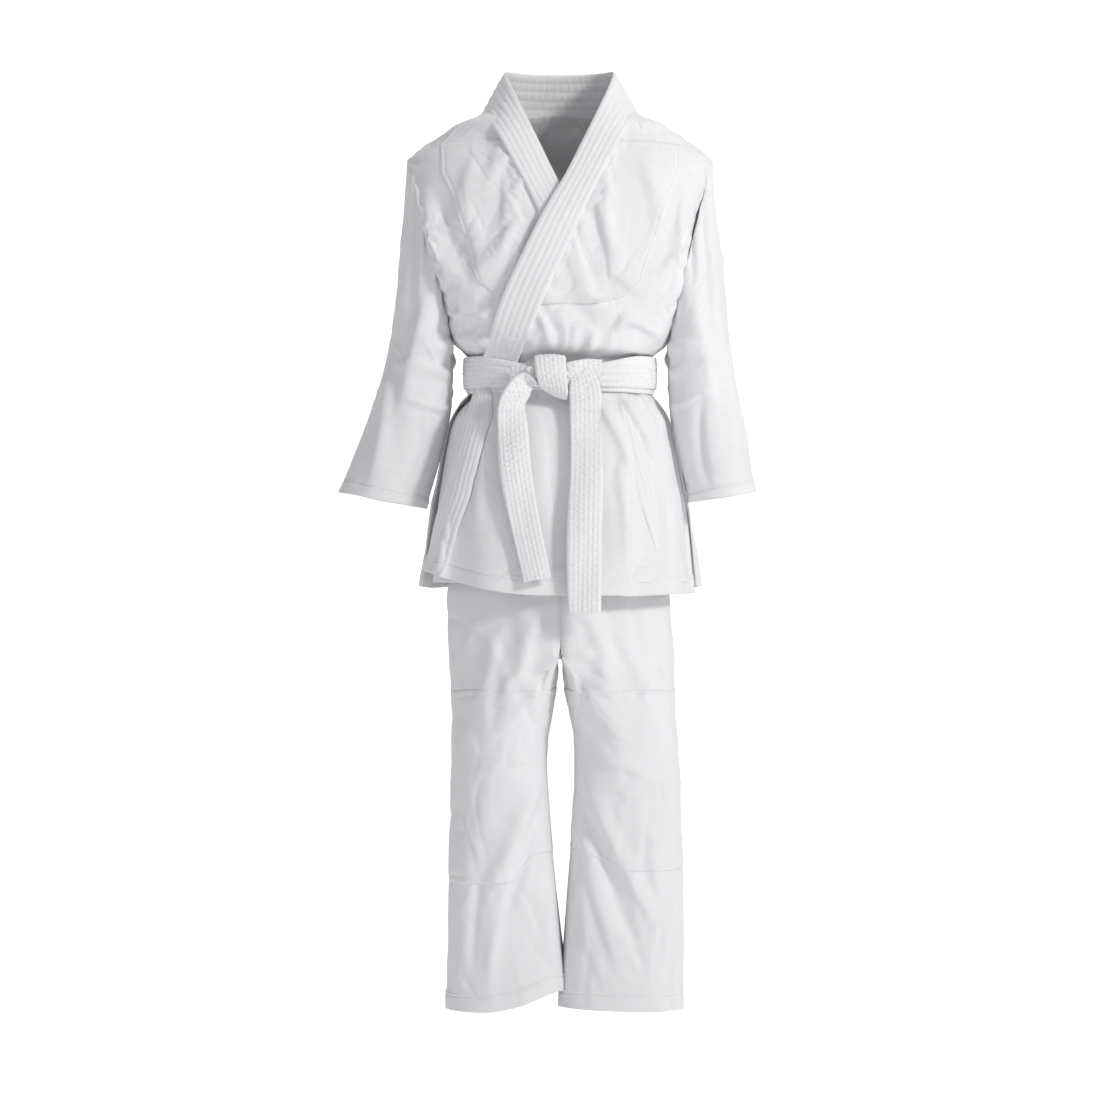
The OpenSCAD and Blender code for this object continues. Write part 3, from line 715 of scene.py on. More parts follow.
def along(stations, u):
    """Smooth curves through rows of stations, at shares u of the way."""
    stations = np.asarray(stations, float)
    place = np.clip(u, 0, 1) * (len(stations) - 1)
    base = np.minimum(place.astype(int), len(stations) - 2)
    s = (place - base)[..., None]
    p = [stations[np.clip(base + k, 0, len(stations) - 1)] for k in (-1, 0, 1, 2)]
    return 0.5 * (2 * p[1] + (p[2] - p[0]) * s + (2 * p[0] - 5 * p[1] + 4 * p[2] - p[3]) * s ** 2
                  + (3 * p[1] - p[0] - 3 * p[2] + p[3]) * s ** 3)


SLEEVE_FOLDS = {
    1: [(-150, 40, -64, 190, 11, 6, 10), (-150, 130, -40, 235, 9, 6, 8), (-150, 205, -70, 250, 8, 5, 6),
        (-96, 60, -70, 300, 13, 5, -10), (150, 60, 84, 210, 11, 6, -8), (146, 180, 70, 250, 9, 5, -6),
        (-50, 20, -26, 200, 15, 5, 6), (-20, 200, -50, 395, 12, 5, 6), (-84, 240, -100, 395, 12, -5, 6),
        (40, 230, 60, 395, 12, 5, -6), (14, 40, 30, 240, 14, 4, 6), (96, 250, 108, 395, 12, 4, 5)],
    -1: [(-150, 40, -54, 200, 11, 7, 10), (-150, 130, -30, 240, 9, 6, 8), (-150, 210, -60, 270, 8, 5, 6),
         (-90, 60, -66, 320, 13, 6, -10), (150, 70, 80, 220, 11, 6, -8), (146, 190, 60, 256, 9, 5, -6),
         (-50, 20, -20, 210, 15, 5, 6), (-16, 210, -64, 395, 13, 6, 6), (-100, 250, -110, 395, 12, 5, 6),
         (46, 230, 40, 395, 12, 5, -6), (20, 40, 34, 250, 14, 4, 6), (100, 260, 110, 395, 12, 4, 5)],
}


def make_sleeve(side, name, body):
    folds = SLEEVE_FOLDS[side] + creases(46, (-160, 160), (20, 380), 20, 40, (35, 110), (3.5, 8), (0.5, 1.6))

    def make(u, v):
        turn = np.radians(360 * v)
        ring = along(SLEEVES[side], u)
        mid_x, mid_z = (ring[..., 0] + ring[..., 2]) / 2, (ring[..., 1] + ring[..., 3]) / 2
        half_x, half_z = (ring[..., 0] - ring[..., 2]) / 2, (ring[..., 1] - ring[..., 3]) / 2
        x, z = mid_x + half_x * np.cos(turn), mid_z + half_z * np.cos(turn)
        y = ring[..., 4] * np.sin(turn)
        hole_z = (SHOULDER_Z + ARMPIT_Z) / 2 + (SHOULDER_Z - ARMPIT_Z) / 2 * np.cos(turn)
        hole = oval(JACKET, arm_angle(hole_z), hole_z)
        near = 1 - ease(u / 0.3)
        y = mix(y, hole[..., 1] * np.sign(np.sin(turn)), near)
        x = mix(x, np.where(u < 1e-6, hole[..., 0], x), near)
        grid = np.stack([x, y, z], -1)
        p = (((v + 0.5) % 1) - 0.5) * SLEEVE_ROUND
        height = fold_field(p, u * SLEEVE_LENGTH, folds) * ease(u / 0.1)
        return raise_folds(grid, height, True)

    def relief(u, v):
        armhole_seam = groove(u * SLEEVE_LENGTH - 5, 2.0, 0.7)
        return hem_height((1 - u) * SLEEVE_LENGTH, HEM_FOLD - 1) + armhole_seam

    def pins(u, v):
        return edge_pins(u, v, 0.05, 0, 0, 0)

    def mirrored(u, v):
        grid = make(u, v)
        return grid[:, ::-1] * np.array([-1, 1, 1]) if side < 0 else grid

    sheet = Sheet(name, mirrored, fine(150, 132), pins, JACKET_CLOTH, relief, ring=True,
                  growth=0.035, cap=9, hem=HEM_ZONE / SLEEVE_LENGTH)
    rows = hem_rows(CUFF_STITCHES, SLEEVE_LENGTH)
    stitches = add_stitches(name + "_hem_stitches", *stitch_lines(sheet, rows, 260))
    for thing in (sheet.thing, stitches):
        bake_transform(thing)
    declare(sheet)
    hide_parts("sleeve_head_" + body[7:], body, "cuff_" + body[7:])


make_sleeve(1, "sleeve_left_cloth", "sleeve_left")
make_sleeve(-1, "sleeve_right_cloth", "sleeve_right")


# ---- Skirt ----

SIDE_LAP = 1.5          # degrees that the back passes the side line


def outer_hem(t):
    return SKIRT_LOW + 30 * ease((270 - t) / 85)


SKIRT_FOLDS = [
    (60, -352, 118, -455, 10, 7, 10), (30, -352, 92, -480, 11, 5, 10), (92, -356, 132, -420, 9, 6, 6),
    (10, -356, 30, -560, 14, 4, 6), (-20, -380, 0, -600, 14, -4, 6), (70, -430, 84, -600, 15, 4, 4),
    (120, -440, 138, -600, 13, 4, 4), (-66, -360, -60, -470, 9, 5, 4), (-90, -372, -112, -560, 12, 4, 4),
    (40, -470, 52, -605, 13, -3, 4),
] + creases(34, (-120, 150), (-600, -370), 85, 30, (40, 120), (4, 9), (0.4, 1.4))
UNDER_FOLDS = [(-100, -360, -130, -590, 14, 5, 6), (-60, -360, -80, -590, 12, 4, 6)]
TAIL_FOLDS = [
    (-90, -352, -118, -590, 13, 6, 8), (-50, -352, -60, -590, 14, 5, 6), (0, -352, -6, -600, 15, 5, 6),
    (48, -352, 62, -590, 14, 5, 6), (92, -352, 120, -590, 13, 6, 8), (-25, -380, -32, -560, 12, -4, 5),
    (24, -380, 36, -580, 12, -4, 5),
] + creases(34, (-140, 140), (-600, -370), 88, 26, (40, 120), (4, 9), (0.4, 1.3))


def skirt_front_make(u, v):
    z = mix(SKIRT_TOP, SKIRT_LOW, u)
    t = mix(front_angle(SKIRT, lapel_x(z, 0.0), z), 359, v)
    z = mix(SKIRT_TOP, outer_hem(t), u)
    x = oval(SKIRT, t, z)[..., 0]
    grid = oval(SKIRT, t, z, over_layer(x) * 0.8)
    sewn = ease((v - 0.04) / 0.12)
    # loose cloth waves more and more towards the hem
    wave = 3.2 * np.sin(np.radians(t) * 9 + 0.8) * ease((u - 0.2) / 0.8) * sewn
    return raise_folds(grid, fold_field(grid[..., 0], grid[..., 2], SKIRT_FOLDS) * sewn + wave)


def skirt_under_make(u, v):
    z = mix(SKIRT_TOP, SKIRT_LOW + 14, u)
    t = mix(181, front_angle(SKIRT, -lapel_x(z, 0.0), z), v)
    x = oval(SKIRT, t, z)[..., 0]
    # it lies on the outside until the left front covers it
    grid = oval(SKIRT, t, z, -8 * ease((x - look(LAPEL_FREE, z) + 34) / 34))
    return raise_folds(grid, fold_field(grid[..., 0], grid[..., 2], UNDER_FOLDS))


def skirt_back_make(u, v):
    z = mix(SKIRT_TOP, SKIRT_LOW + 8, u)
    t = mix(-SIDE_LAP, 180 + SIDE_LAP, v)
    grid = oval(SKIRT, t, z)
    wave = 3.0 * np.sin(np.radians(t) * 8) * ease((u - 0.2) / 0.8)
    wave = wave + (2.4 + 3 * ease((u - 0.35) / 0.5)) * ease((0.06 - np.minimum(v, 1 - v)) / 0.05)
    seam = groove(grid[..., 0], 3.0, 0.9)
    return raise_folds(grid, fold_field(grid[..., 0], grid[..., 2], TAIL_FOLDS) + wave + seam)


def hem_relief(u, v):
    return hem_height((1 - u) * SKIRT_DEPTH)


def vent_relief(u, v):
    side = np.minimum(v, 1 - v) * 420
    open_part = ease((u * SKIRT_DEPTH - 84) / 8)
    return np.maximum(hem_relief(u, v), 0.8 * ease((16 - side) / 2) * open_part)


skirt_front = Sheet("skirt_front_outer", skirt_front_make, fine(108, 174),
                    lambda u, v: edge_pins(u, v, 0.12, 0.0, 0.1, 0.02), JACKET_CLOTH, hem_relief,
                    growth=0.022, cap=6, hem=HEM_ZONE / SKIRT_DEPTH)
skirt_under = Sheet("skirt_front_under", skirt_under_make, fine(96, 150),
                    lambda u, v: np.ones_like(u), JACKET_CLOTH, hem_relief, hem=HEM_ZONE / SKIRT_DEPTH)
skirt_back = Sheet("skirt_back_cloth", skirt_back_make, fine(108, 190),
                   lambda u, v: edge_pins(u, v, 0.12, 0.0, 0.02, 0.02), JACKET_CLOTH, vent_relief,
                   growth=0.022, cap=6, hem=HEM_ZONE / SKIRT_DEPTH)
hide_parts("skirt_front_left")
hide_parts("skirt_front_right")
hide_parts("skirt_back")


def swing(thing, body):
    """Cloth that hangs from under the belt: its transform is baked into its mesh."""
    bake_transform(thing)


for sheet, body in ((skirt_front, "skirt_front"), (skirt_under, "skirt_front"), (skirt_back, "skirt_back")):
    swing(sheet.thing, body)
    declare(sheet)


# ---- Quilted bands ----

def quilt(across, along_mm, width, rows, depth=0.85, pucker=0.34):
    """Height of a quilted face: channels lengthwise, with small puckers between the stitches."""
    pitch = width / rows
    channel = (across * width) % pitch
    row = np.floor(across * width / pitch)
    arch = np.sin(np.pi * channel / pitch) ** 0.5
    shift = np.sin(row * 12.9898) * 43.7
    turn = along_mm * 2 * np.pi
    ripple = np.sin(turn / 6.1 + shift) + 0.6 * np.sin(turn / 9.7 + shift * 1.7)
    wander = np.sin(along_mm / 31 + shift) * 0.35 + np.sin(along_mm / 13.7) * 0.25
    return depth * arch + pucker * ripple * arch + wander * 0.5


def strip_between(name, free_edge, seam_edge, thick, rows, material, lean=0.0):
    """A quilted band between its free edge and its seam, both given as matching points."""
    columns = 60
    s = np.linspace(0, 1, columns)[None, :, None]
    mid = mix(free_edge[:, None, :], seam_edge[:, None, :], s)
    n = normals(mid)
    run = run_along(mid[:, columns // 2])
    edge = np.sqrt(np.clip(1 - np.abs(2 * s[..., 0] - 1) ** 10, 0, 1))
    height = (thick / 2 + quilt(s[..., 0], run[:, None], LAPEL_WIDE, rows)) * edge
    crown = lean * np.sin(np.pi * s[..., 0])
    outer = mid + n * (height + crown)[..., None]
    rear = (thick / 2 + quilt(s[..., 0], run[:, None] + 40, LAPEL_WIDE, rows)) * edge
    inner = mid - n * (rear - crown)[..., None]
    return add_shell(name, outer, inner, material), mid, n


def resample(points, count):
    """Points at equal steps along a smooth curve through the given ones."""
    fine_line = along(points, np.linspace(0, 1, 60 * len(points)))
    run = run_along(fine_line)
    at = np.linspace(0, run[-1], count)
    return np.stack([np.interp(at, run, fine_line[:, k]) for k in range(3)], 1)


# The band round the neck: its free edge and its seam from the middle of the back to the left front
NECK_FREE = [(0, 51, 46), (26, 49, 46), (50, 38, 46), (66, 18, 45), (70, -6, 41), (65, -30, 24)]
NECK_SEAM = [(0, 67, -19), (34, 66, -19), (69, 57, -18), (95, 36, -16), (104, 2, -14), (101, -30, -15)]


def lapel_points(side, s, lift):
    """One edge of a lapel from the neck down to the belt."""
    z = np.linspace(-12 if s < 0.5 else -26, WAIST_Z - 10, 40)
    x = lapel_x(z, s) * side
    t = front_angle(JACKET, x, z)
    layer = over_layer(x) if side > 0 else under_layer(x)
    # the band stands higher where it climbs over the shoulder
    return oval(JACKET, t, z, layer + lift + 6 * ease((z + 90) / 70)) + np.array([0, 0, 3.0]) * \
        ease((z + 80) / 60)[:, None]


def collar_edges(side):
    lift = 4.2
    free = np.array(NECK_FREE, float)[:-1] * [side, 1, 1]
    seam = np.array(NECK_SEAM, float)[:-1] * [side, 1, 1]
    joined = []
    for neck, s in ((free, 0.0), (seam, 1.0)):
        lapel = lapel_points(side, s, lift)
        joined.append((neck, lapel))
    return joined


def make_collar():
    count = 330
    edges = []
    for k in (0, 1):
        left = collar_edges(1)[k]
        right = collar_edges(-1)[k]
        neck_left, neck_right = resample(left[0], count // 6), resample(right[0], count // 6)
        lapel_left = resample(left[1], count // 3)
        lapel_right = resample(right[1], count // 3)
        line = np.concatenate([lapel_left[::-1], neck_left[::-1][:-1], neck_right, lapel_right])
        # round off the places where the neck part runs into the lapels
        kernel = np.hanning(29)
        kernel /= kernel.sum()
        pad = len(kernel) // 2
        padded = np.concatenate([np.repeat(line[:1], pad, 0), line, np.repeat(line[-1:], pad, 0)])
        edges.append(np.stack([np.convolve(padded[:, a], kernel, "valid") for a in range(3)], 1)[::-1])
    band, mid, n = strip_between("collar_band", edges[0], edges[1], 3.6, 6, QUILT_CLOTH, 1.0)
    wear(band, "jacket")
    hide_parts("collar_back", "lapel_left", "lapel_right")
    declare_cut(band, mid)
    lines = [mid[:, int(c * (mid.shape[1] - 1))] + n[:, int(c * (mid.shape[1] - 1))] * 2.3
             for c in (0.03, 0.965)]
    ups = [n[:, int(c * (mid.shape[1] - 1))] for c in (0.03, 0.965)]
    thread = add_stitches("collar_stitches", lines, ups)
    wear(thread, "jacket")


def make_skirt_lapel(name, sheet, flip, node):
    """The length of the band that runs down a free edge of the skirt."""
    u = np.linspace(0.0, 1.0, 90)
    wide = LAPEL_WIDE / 330
    first, last = (0.0, wide) if not flip else (1.0, 1 - wide * 1.15)
    free = sheet.at(u, np.full(u.shape, first), np.full(u.shape, 1.6))
    seam = sheet.at(u, np.full(u.shape, last), np.full(u.shape, 1.6))
    middle = sheet.at(u, np.full(u.shape, (first + last) / 2), np.full(u.shape, 1.6))
    if flip:
        free, seam = seam, free
    band, mid, _ = strip_between(name, free, seam, 2.6, 6, QUILT_CLOTH,
                                 float(np.linalg.norm(middle - (free + seam) / 2, axis=1).mean()))
    swing(band, "skirt_front")
    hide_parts(node)
    declare_cut(band, mid)


make_collar()
make_skirt_lapel("skirt_lapel_outer", skirt_front, False, "skirt_lapel_left")
make_skirt_lapel("skirt_lapel_under", skirt_under, True, "skirt_lapel_right")


# ---- Patches sewn onto the sheets ----

def add_patch(name, sheet, where, size, material, lift=0.3, thick=1.3):
    """A second layer that follows a sheet. where(a, b) gives its place on the sheet as (u, v)."""
    a, b = shares(*size)
    u, v = where(a, b)
    rim = np.minimum(np.minimum(a, 1 - a) * size[0], np.minimum(b, 1 - b) * size[1])
    soft = np.sqrt(np.clip(rim / 2, 0.15, 1))
    stitched = groove(rim - 4, 1.2, 0.8)
    outer = sheet.at(u, v, lift + thick * soft + stitched)
    inner = sheet.at(u, v, np.full(u.shape, lift - 0.9))
    patch = add_shell(name, outer, inner, material)
    declare_cut(patch, sheet.pick(sheet.base, u, v))
    return patch


def rim_lines(where, inset):
    """The lines just inside the edge of a patch."""
    return [lambda s: where(np.full_like(s, inset), mix(inset, 1 - inset, s)),
            lambda s: where(np.full_like(s, 1 - inset), mix(inset, 1 - inset, s)),
            lambda s: where(mix(inset, 1 - inset, s), np.full_like(s, inset)),
            lambda s: where(mix(inset, 1 - inset, s), np.full_like(s, 1 - inset))]


CHEST_EDGE = np.array([[-262, -6], [-255, 40], [-246, 78], [-225, 100], [-180, 116], [-119, 134],
                       [-90, 148], [-50, 150]], float)


def chest_left_spot(a, b):
    z = mix(-52, -258 + 4 * b, a)
    first = front_angle(JACKET, lapel_x(z, 0.9), z)
    last = front_angle(JACKET, np.interp(z, CHEST_EDGE[:, 0], CHEST_EDGE[:, 1]), z)
    t = mix(first, last, b)
    start = front_angle(JACKET, lapel_x(z, FREE_EDGE), z)
    return jacket_u(z), (t - start) / (360 - arm_angle(z) - start)


def chest_right_spot(a, b):
    z = mix(-52, -246 + 4 * b, a)
    inner = np.minimum(-lapel_x(z, 0.9), lapel_x(z, FREE_EDGE))
    first = front_angle(JACKET, -np.interp(z, CHEST_EDGE[:, 0], CHEST_EDGE[:, 1]), z)
    t = mix(first, front_angle(JACKET, inner, z), b)
    start = 180 + arm_angle(z)
    stop = front_angle(JACKET, -lapel_x(z, FREE_EDGE), z)
    return jacket_u(z), (t - start) / (stop - start)


def yoke_spot(a, b):
    z = mix(-8, -142, a)
    edge = arm_angle(z) + 1.0
    t = mix(edge, 180 - edge, b)
    return jacket_u(z), (t - arm_angle(z)) / (180 - 2 * arm_angle(z))


def sew_patch(name, sheet, where, size, node):
    """A stitched patch on the body of the jacket."""
    patch = add_patch(name, sheet, where, fine(*size), JACKET_CLOTH)
    points, ups = stitch_lines(sheet, rim_lines(where, 0.022), 140, 1.25)
    thread = add_stitches(name + "_stitches", points, ups)
    for thing in (patch, thread):
        wear(thing, "jacket")
    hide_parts(node)


sew_patch("chest_patch_left_cloth", front_left, chest_left_spot, (90, 80), "chest_patch_left")
sew_patch("chest_patch_right_cloth", front_right, chest_right_spot, (90, 60), "chest_patch_right")
sew_patch("yoke_cloth", back, yoke_spot, (60, 160), "shoulder_yoke")


def vent_spot(right):
    def spot(a, b):
        z = mix(-410, -452, a)
        t = mix(2, 20, b)
        v = (t + SIDE_LAP) / (180 + 2 * SIDE_LAP)
        return (z - SKIRT_TOP) / (SKIRT_LOW + 8 - SKIRT_TOP), 1 - v if right else v
    return spot


for right, node in ((False, "vent_patch_left"), (True, "vent_patch_right")):
    patch = add_patch(node + "_cloth", skirt_back, vent_spot(right), (16, 16), JACKET_CLOTH)
    if right:
        patch.data.flip_normals()
    swing(patch, "skirt_back")
    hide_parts(node)


def gusset_spot(side):
    t_mid = 0 if side > 0 else 180

    def points(a, b):
        z = mix(-289, -311, a)
        wide = 15 * (0.3 + 0.7 * np.sin(np.pi * a))
        return oval(JACKET, t_mid + mix(-wide, wide, b), z, 3.2)
    return points


for side, node in ((1, "armpit_gusset_left"), (-1, "armpit_gusset_right")):
    a, b = shares(14, 22)
    grid = gusset_spot(side)(a, b)
    n = normals(grid)
    gusset = add_shell(node + "_cloth", grid + n * 0.8, grid - n * 0.6, JACKET_CLOTH)
    wear(gusset, "jacket")
    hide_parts(node)
    declare_cut(gusset, grid)


# ---- Belt ----

BELT_WIDE, BELT_ROWS = 40, 7
BELT_MID = -340
TAIL_ROOT = -388        # a tail is split into two pieces at this height


def band_grids(centre, across, width, thick, rows, taper=None, crown=0.0, pucker=0.28):
    """The two faces of a quilted band swept along a line of centre points."""
    run = run_along(centre)
    tangent = np.gradient(centre, axis=0)
    tangent /= np.linalg.norm(tangent, axis=1, keepdims=True)
    across = across - tangent * (across * tangent).sum(1, keepdims=True)
    across /= np.linalg.norm(across, axis=1, keepdims=True)
    face = np.cross(tangent, across)
    s = np.linspace(0, 1, 60)[None]
    wide = (width * (1 if taper is None else taper) * np.ones(len(centre)))[:, None]
    edge = np.sqrt(np.clip(1 - np.abs(2 * s - 1) ** 12, 0, 1))
    middle = centre[:, None] + ((s - 0.5) * wide)[..., None] * across[:, None]
    middle = middle + (crown * np.sin(np.pi * s) * np.ones_like(wide))[..., None] * face[:, None]
    front = (thick / 2 + quilt(s, run[:, None], width, rows, 0.8, pucker)) * edge
    rear = (thick / 2 + quilt(s, run[:, None] + 40, width, rows, 0.8, pucker)) * edge
    return middle + face[:, None] * front[..., None], middle - face[:, None] * rear[..., None]


def declare_band(centre):
    """Works out how long a band's centre line is; the length is not kept."""
    length = round(float(run_along(centre)[-1]) * MM, 3)


def make_wrap(name, off, lower, node):
    v = np.linspace(0, 1, 420)
    t = mix(272, 628, v)
    near = ease((0.15 - np.minimum(v, 1 - v)) / 0.15)
    centre = oval(JACKET, t, np.full(v.shape, float(BELT_MID)), off)
    side = ease((np.abs(centre[:, 0]) - 20) / 90)
    centre[:, 2] = BELT_MID + 4 * side - lower - 4 * near
    # the ends dip in behind the knot, and the whole band waves a little
    centre[:, 2] += 1.2 * np.sin(np.radians(t) * 3 + lower)
    up = np.zeros_like(centre)
    up[:, 2] = 1
    outer, inner = band_grids(centre, up, BELT_WIDE, 2.6, BELT_ROWS, 1 - 0.38 * near, 0.8)
    # the band is gathered lengthwise where the knot pulls it together
    s = np.linspace(0, 1, outer.shape[1])[None]
    pleat = 1.1 * near[:, None] * np.sin(s * 21 + 5 * v[:, None] * 6)
    away = normals(outer)
    wrap = add_shell(name, outer + away * pleat[..., None], inner + away * pleat[..., None], BELT_CLOTH)
    wear(wrap, "jacket")
    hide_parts(node)
    declare_band(centre)


make_wrap("belt_inner_cloth", 11.8, 6.0, "belt_inner_wrap")
make_wrap("belt_outer_cloth", 15.6, 0.0, "belt_outer_wrap")


def swept(path, count=120):
    """A smooth centre line and width directions from rows of x, y, z, ax, ay, az, share of the width."""
    line = along(path, np.linspace(0, 1, count))
    return line[:, :3], line[:, 3:6], line[:, 6]


def make_knot():
    """The belt's turn over both wraps, with the two folds it comes out of."""
    loops = {
        "knot_face": [
            (-14, -86, -348, 1, 0, 0.0, 0.90), (-13, -92, -328, 1, 0, 0.0, 0.94),
            (-13, -101, -322.5, 1, 0, 0.0, 0.97), (-12.5, -109, -325, 1, 0, 0.0, 0.97),
            (-12, -113, -335, 1, 0, -0.12, 0.95), (-10, -114, -347, 1, 0, -0.36, 0.90),
            (-6, -110, -359, 1, 0.1, -0.5, 0.80), (-4, -102, -366, 1, 0.2, -0.5, 0.72),
            (-6, -93, -362, 1, 0.2, -0.3, 0.66), (-8, -88, -352, 1, 0.1, -0.2, 0.7)],
        "knot_left_fold": [
            (4, -97, -344, 0.0, 0.1, 1, 0.62), (-14, -102, -344, 0.0, 0.1, 1, 0.64),
            (-30, -103.5, -345, -0.1, 0, 1, 0.66), (-46, -99, -343, -0.1, 0, 1, 0.62),
            (-60, -94.5, -341, 0, 0, 1, 0.58)],
        "knot_right_fold": [
            (-20, -99, -345, 0, 0.1, 1, 0.6), (0, -104, -344, 0, 0.1, 1, 0.64),
            (16, -104.5, -341, 0.05, 0, 1, 0.72), (34, -99, -339, 0, 0, 1, 0.78),
            (50, -95, -339, 0, 0, 1, 0.74)],
    }
    for name, path in loops.items():
        centre, across, taper = swept(path, 150)
        if name != "knot_face":
            # both folds run towards the wearer's left, so that the outer face is the same
            if centre[-1, 0] < centre[0, 0]:
                centre, across, taper = centre[::-1], across[::-1], taper[::-1]
        outer, inner = band_grids(centre, across, BELT_WIDE, 3.0, BELT_ROWS, taper, 2.2, 0.36)
        band = add_shell(name, outer, inner, BELT_CLOTH)
        wear(band, "jacket")
        if name == "knot_face":
            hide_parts("belt_knot")
        declare_band(centre)


def front_y(x, z, off):
    t = front_angle(SKIRT, x, z)
    return float(oval(SKIRT, t, np.float64(z), off)[..., 1])


def make_tail(name, path, node, bend):
    """A tail of the belt, in two pieces: its first part, down to TAIL_ROOT, and the rest."""
    path = [(x, y if y else front_y(x, z, 9.0), z, ax, ay, az, w) for x, y, z, ax, ay, az, w in path]
    centre, across, taper = swept(path, 300)
    outer, inner = band_grids(centre, across, BELT_WIDE, 3.0, BELT_ROWS, taper, 0.9, 0.4)
    run = np.linspace(0, 1, len(centre))[:, None]
    s = np.linspace(0, 1, outer.shape[1])[None]
    # the tail is not flat: it bows and its long edges wave
    away = normals(outer)
    wave = (1.6 * np.sin(run * 9 + bend) + 1.2 * np.sin(run * 17 + s * 3 + bend)) * ease((run - 0.25) / 0.2)
    outer, inner = outer + away * wave[..., None], inner + away * wave[..., None]
    cut = int(np.argmax(centre[:, 2] < TAIL_ROOT))
    root = add_shell(name + "_root", outer[:cut + 1], inner[:cut + 1], BELT_CLOTH)
    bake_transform(root)
    tail = add_shell(name, outer[cut:], inner[cut:], BELT_CLOTH)
    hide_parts(node)
    tip = [outer[-k, 1:-1] + away[-k, 1:-1] * 0.15 for k in (len(centre) // 60, len(centre) // 8)]
    ups = [away[-k, 1:-1] for k in (len(centre) // 60, len(centre) // 8)]
    slant = np.stack([outer[-1 - int(len(centre) / 8 * k / outer.shape[1]), k]
                      + away[-1 - int(len(centre) / 8 * k / outer.shape[1]), k] * 0.15
                      for k in range(1, outer.shape[1] - 1)])
    thread = add_stitches(name + "_stitches", tip + [slant], ups + [ups[0]], 2.6, 1.7, 0.4)
    for thing in (tail, thread):
        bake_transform(thing)
    declare_band(centre[:cut + 1])
    declare_band(centre[cut:])


make_knot()
make_tail("tail_left_cloth", [
    (16, -101, -333, 0.75, 0.1, 0.65, 0.62), (26, -106, -346, 0.97, 0.1, 0.25, 0.82),
    (30, -110, -364, 1, 0.05, 0.04, 0.97), (31, -112, -390, 1, 0.02, 0, 1), (31, 0, -440, 1, 0, 0, 1),
    (30, 0, -500, 1, 0, 0, 1), (29, 0, -570, 1, 0, 0, 1), (28, 0, -633, 1, 0, 0, 0.98)],
    "belt_tail_left", 0.4)
make_tail("tail_right_cloth", [
    (-22, -101, -338, 0.4, 0.1, 0.9, 0.5), (-36, -107, -346, 0.7, 0.25, 0.68, 0.62),
    (-50, -110, -362, 0.92, 0.3, 0.3, 0.80), (-59, -110, -385, 0.97, 0.2, 0.14, 0.88),
    (-58, 0, -420, 0.98, 0.05, 0.15, 0.90), (-52, 0, -470, 0.98, 0, 0.15, 0.92),
    (-42, 0, -530, 0.98, 0, 0.17, 0.92), (-28, 0, -592, 0.98, 0, 0.18, 0.92)],
    "belt_tail_right", 2.1)


# ---- Trousers ----

LEG_TOP, LEG_ROUND = -362, 400


def leg_low(side, turn):
    """The hem's height: one leg's hem rises towards the other leg."""
    inner = (1 - np.cos(turn)) / 2
    return LEG_LOW + 2 + (24 * ease((inner - 0.35) / 0.6) if side < 0 else 3 * inner)


LEG_FOLDS = {
    1: [(60, -640, 116, -760, 12, 4, 8), (22, -700, 96, -790, 12, 5, -8), (40, -806, 130, -842, 11, 4, 6),
        (26, -796, 146, -1050, 13, 7, -10), (24, -822, 128, -1100, 12, -5, -8),
        (24, -850, 96, -1110, 12, 5, -8),
        (118, -880, 136, -1000, 13, 4, -6), (130, -620, 128, -760, 12, 4, 5), (10, -612, 60, -700, 12, 4, 6),
        (80, -600, 100, -690, 12, -3, 5), (24, -940, 40, -1060, 10, 4, 4), (140, -940, 146, -1110, 12, 4, 4),
        # the seams of the gusset and the panel beside it
        (31, -590, 31, -712, 1.6, -1.6, 0), (31, -690, 27, -790, 1.6, -1.6, 1),
        (20, -702, 96, -719, 1.6, -1.5, 2)],
    -1: [(60, -620, 96, -790, 13, 5, 10), (20, -706, 110, -790, 12, 5, -8), (36, -806, 124, -836, 11, 4, 6),
         (28, -806, 104, -990, 13, 7, -8), (34, -860, 84, -1020, 12, -5, -8), (60, -900, 92, -1112, 15, 5, 8),
         (120, -900, 130, -1112, 14, 5, -6), (20, -930, 6, -1090, 12, 5, 6), (100, -640, 60, -760, 12, 4, -8),
         (130, -640, 124, -800, 12, -4, 5), (14, -612, 50, -720, 12, 4, 6),
         (100, -940, 116, -1080, 12, -4, 5)],
}
LEG_BACK_FOLDS = [
    (30, -690, 110, -740, 13, 6, 8), (30, -720, 120, -790, 13, 6, 8), (30, -815, 130, -812, 12, 8, 8),
    (30, -836, 130, -840, 12, 7, -6), (60, -880, 70, -1110, 16, 5, 6), (110, -880, 116, -1110, 15, 5, -6),
    (40, -560, 100, -680, 14, 5, 8)]


def leg_point(side, turn, z):
    """A point on one trouser leg or, above the crotch, on one half of the trousers."""
    leg = LEGS[side]
    c, s = signed_pow(np.cos(turn), 2 / SQUARENESS), signed_pow(np.sin(turn), 2 / SQUARENESS)
    inner, outer = look(leg, z, 1), look(leg, z, 2)
    roundness = look(leg, z, 5)
    half = np.where(c > 0, inner + (outer - inner) * c, inner)
    whole = (inner + outer) / 2 + (outer - inner) / 2 * c
    leg_x = mix(half, whole, roundness)
    leg_y = look(leg, z, 4) + look(leg, z, 3) * s
    hip_x = look(TROUSERS, z, 1) * np.maximum(c, 0) + look(TROUSERS, z, 3) * side * ease(c * 4)
    hip_y = look(TROUSERS, z, 4) + look(TROUSERS, z, 2) * s
    above = ease((z - CROTCH_Z + 6) / 34)
    x, y = mix(leg_x, hip_x, above), mix(leg_y, hip_y, above)
    return np.stack(np.broadcast_arrays(side * x, y, z), -1)


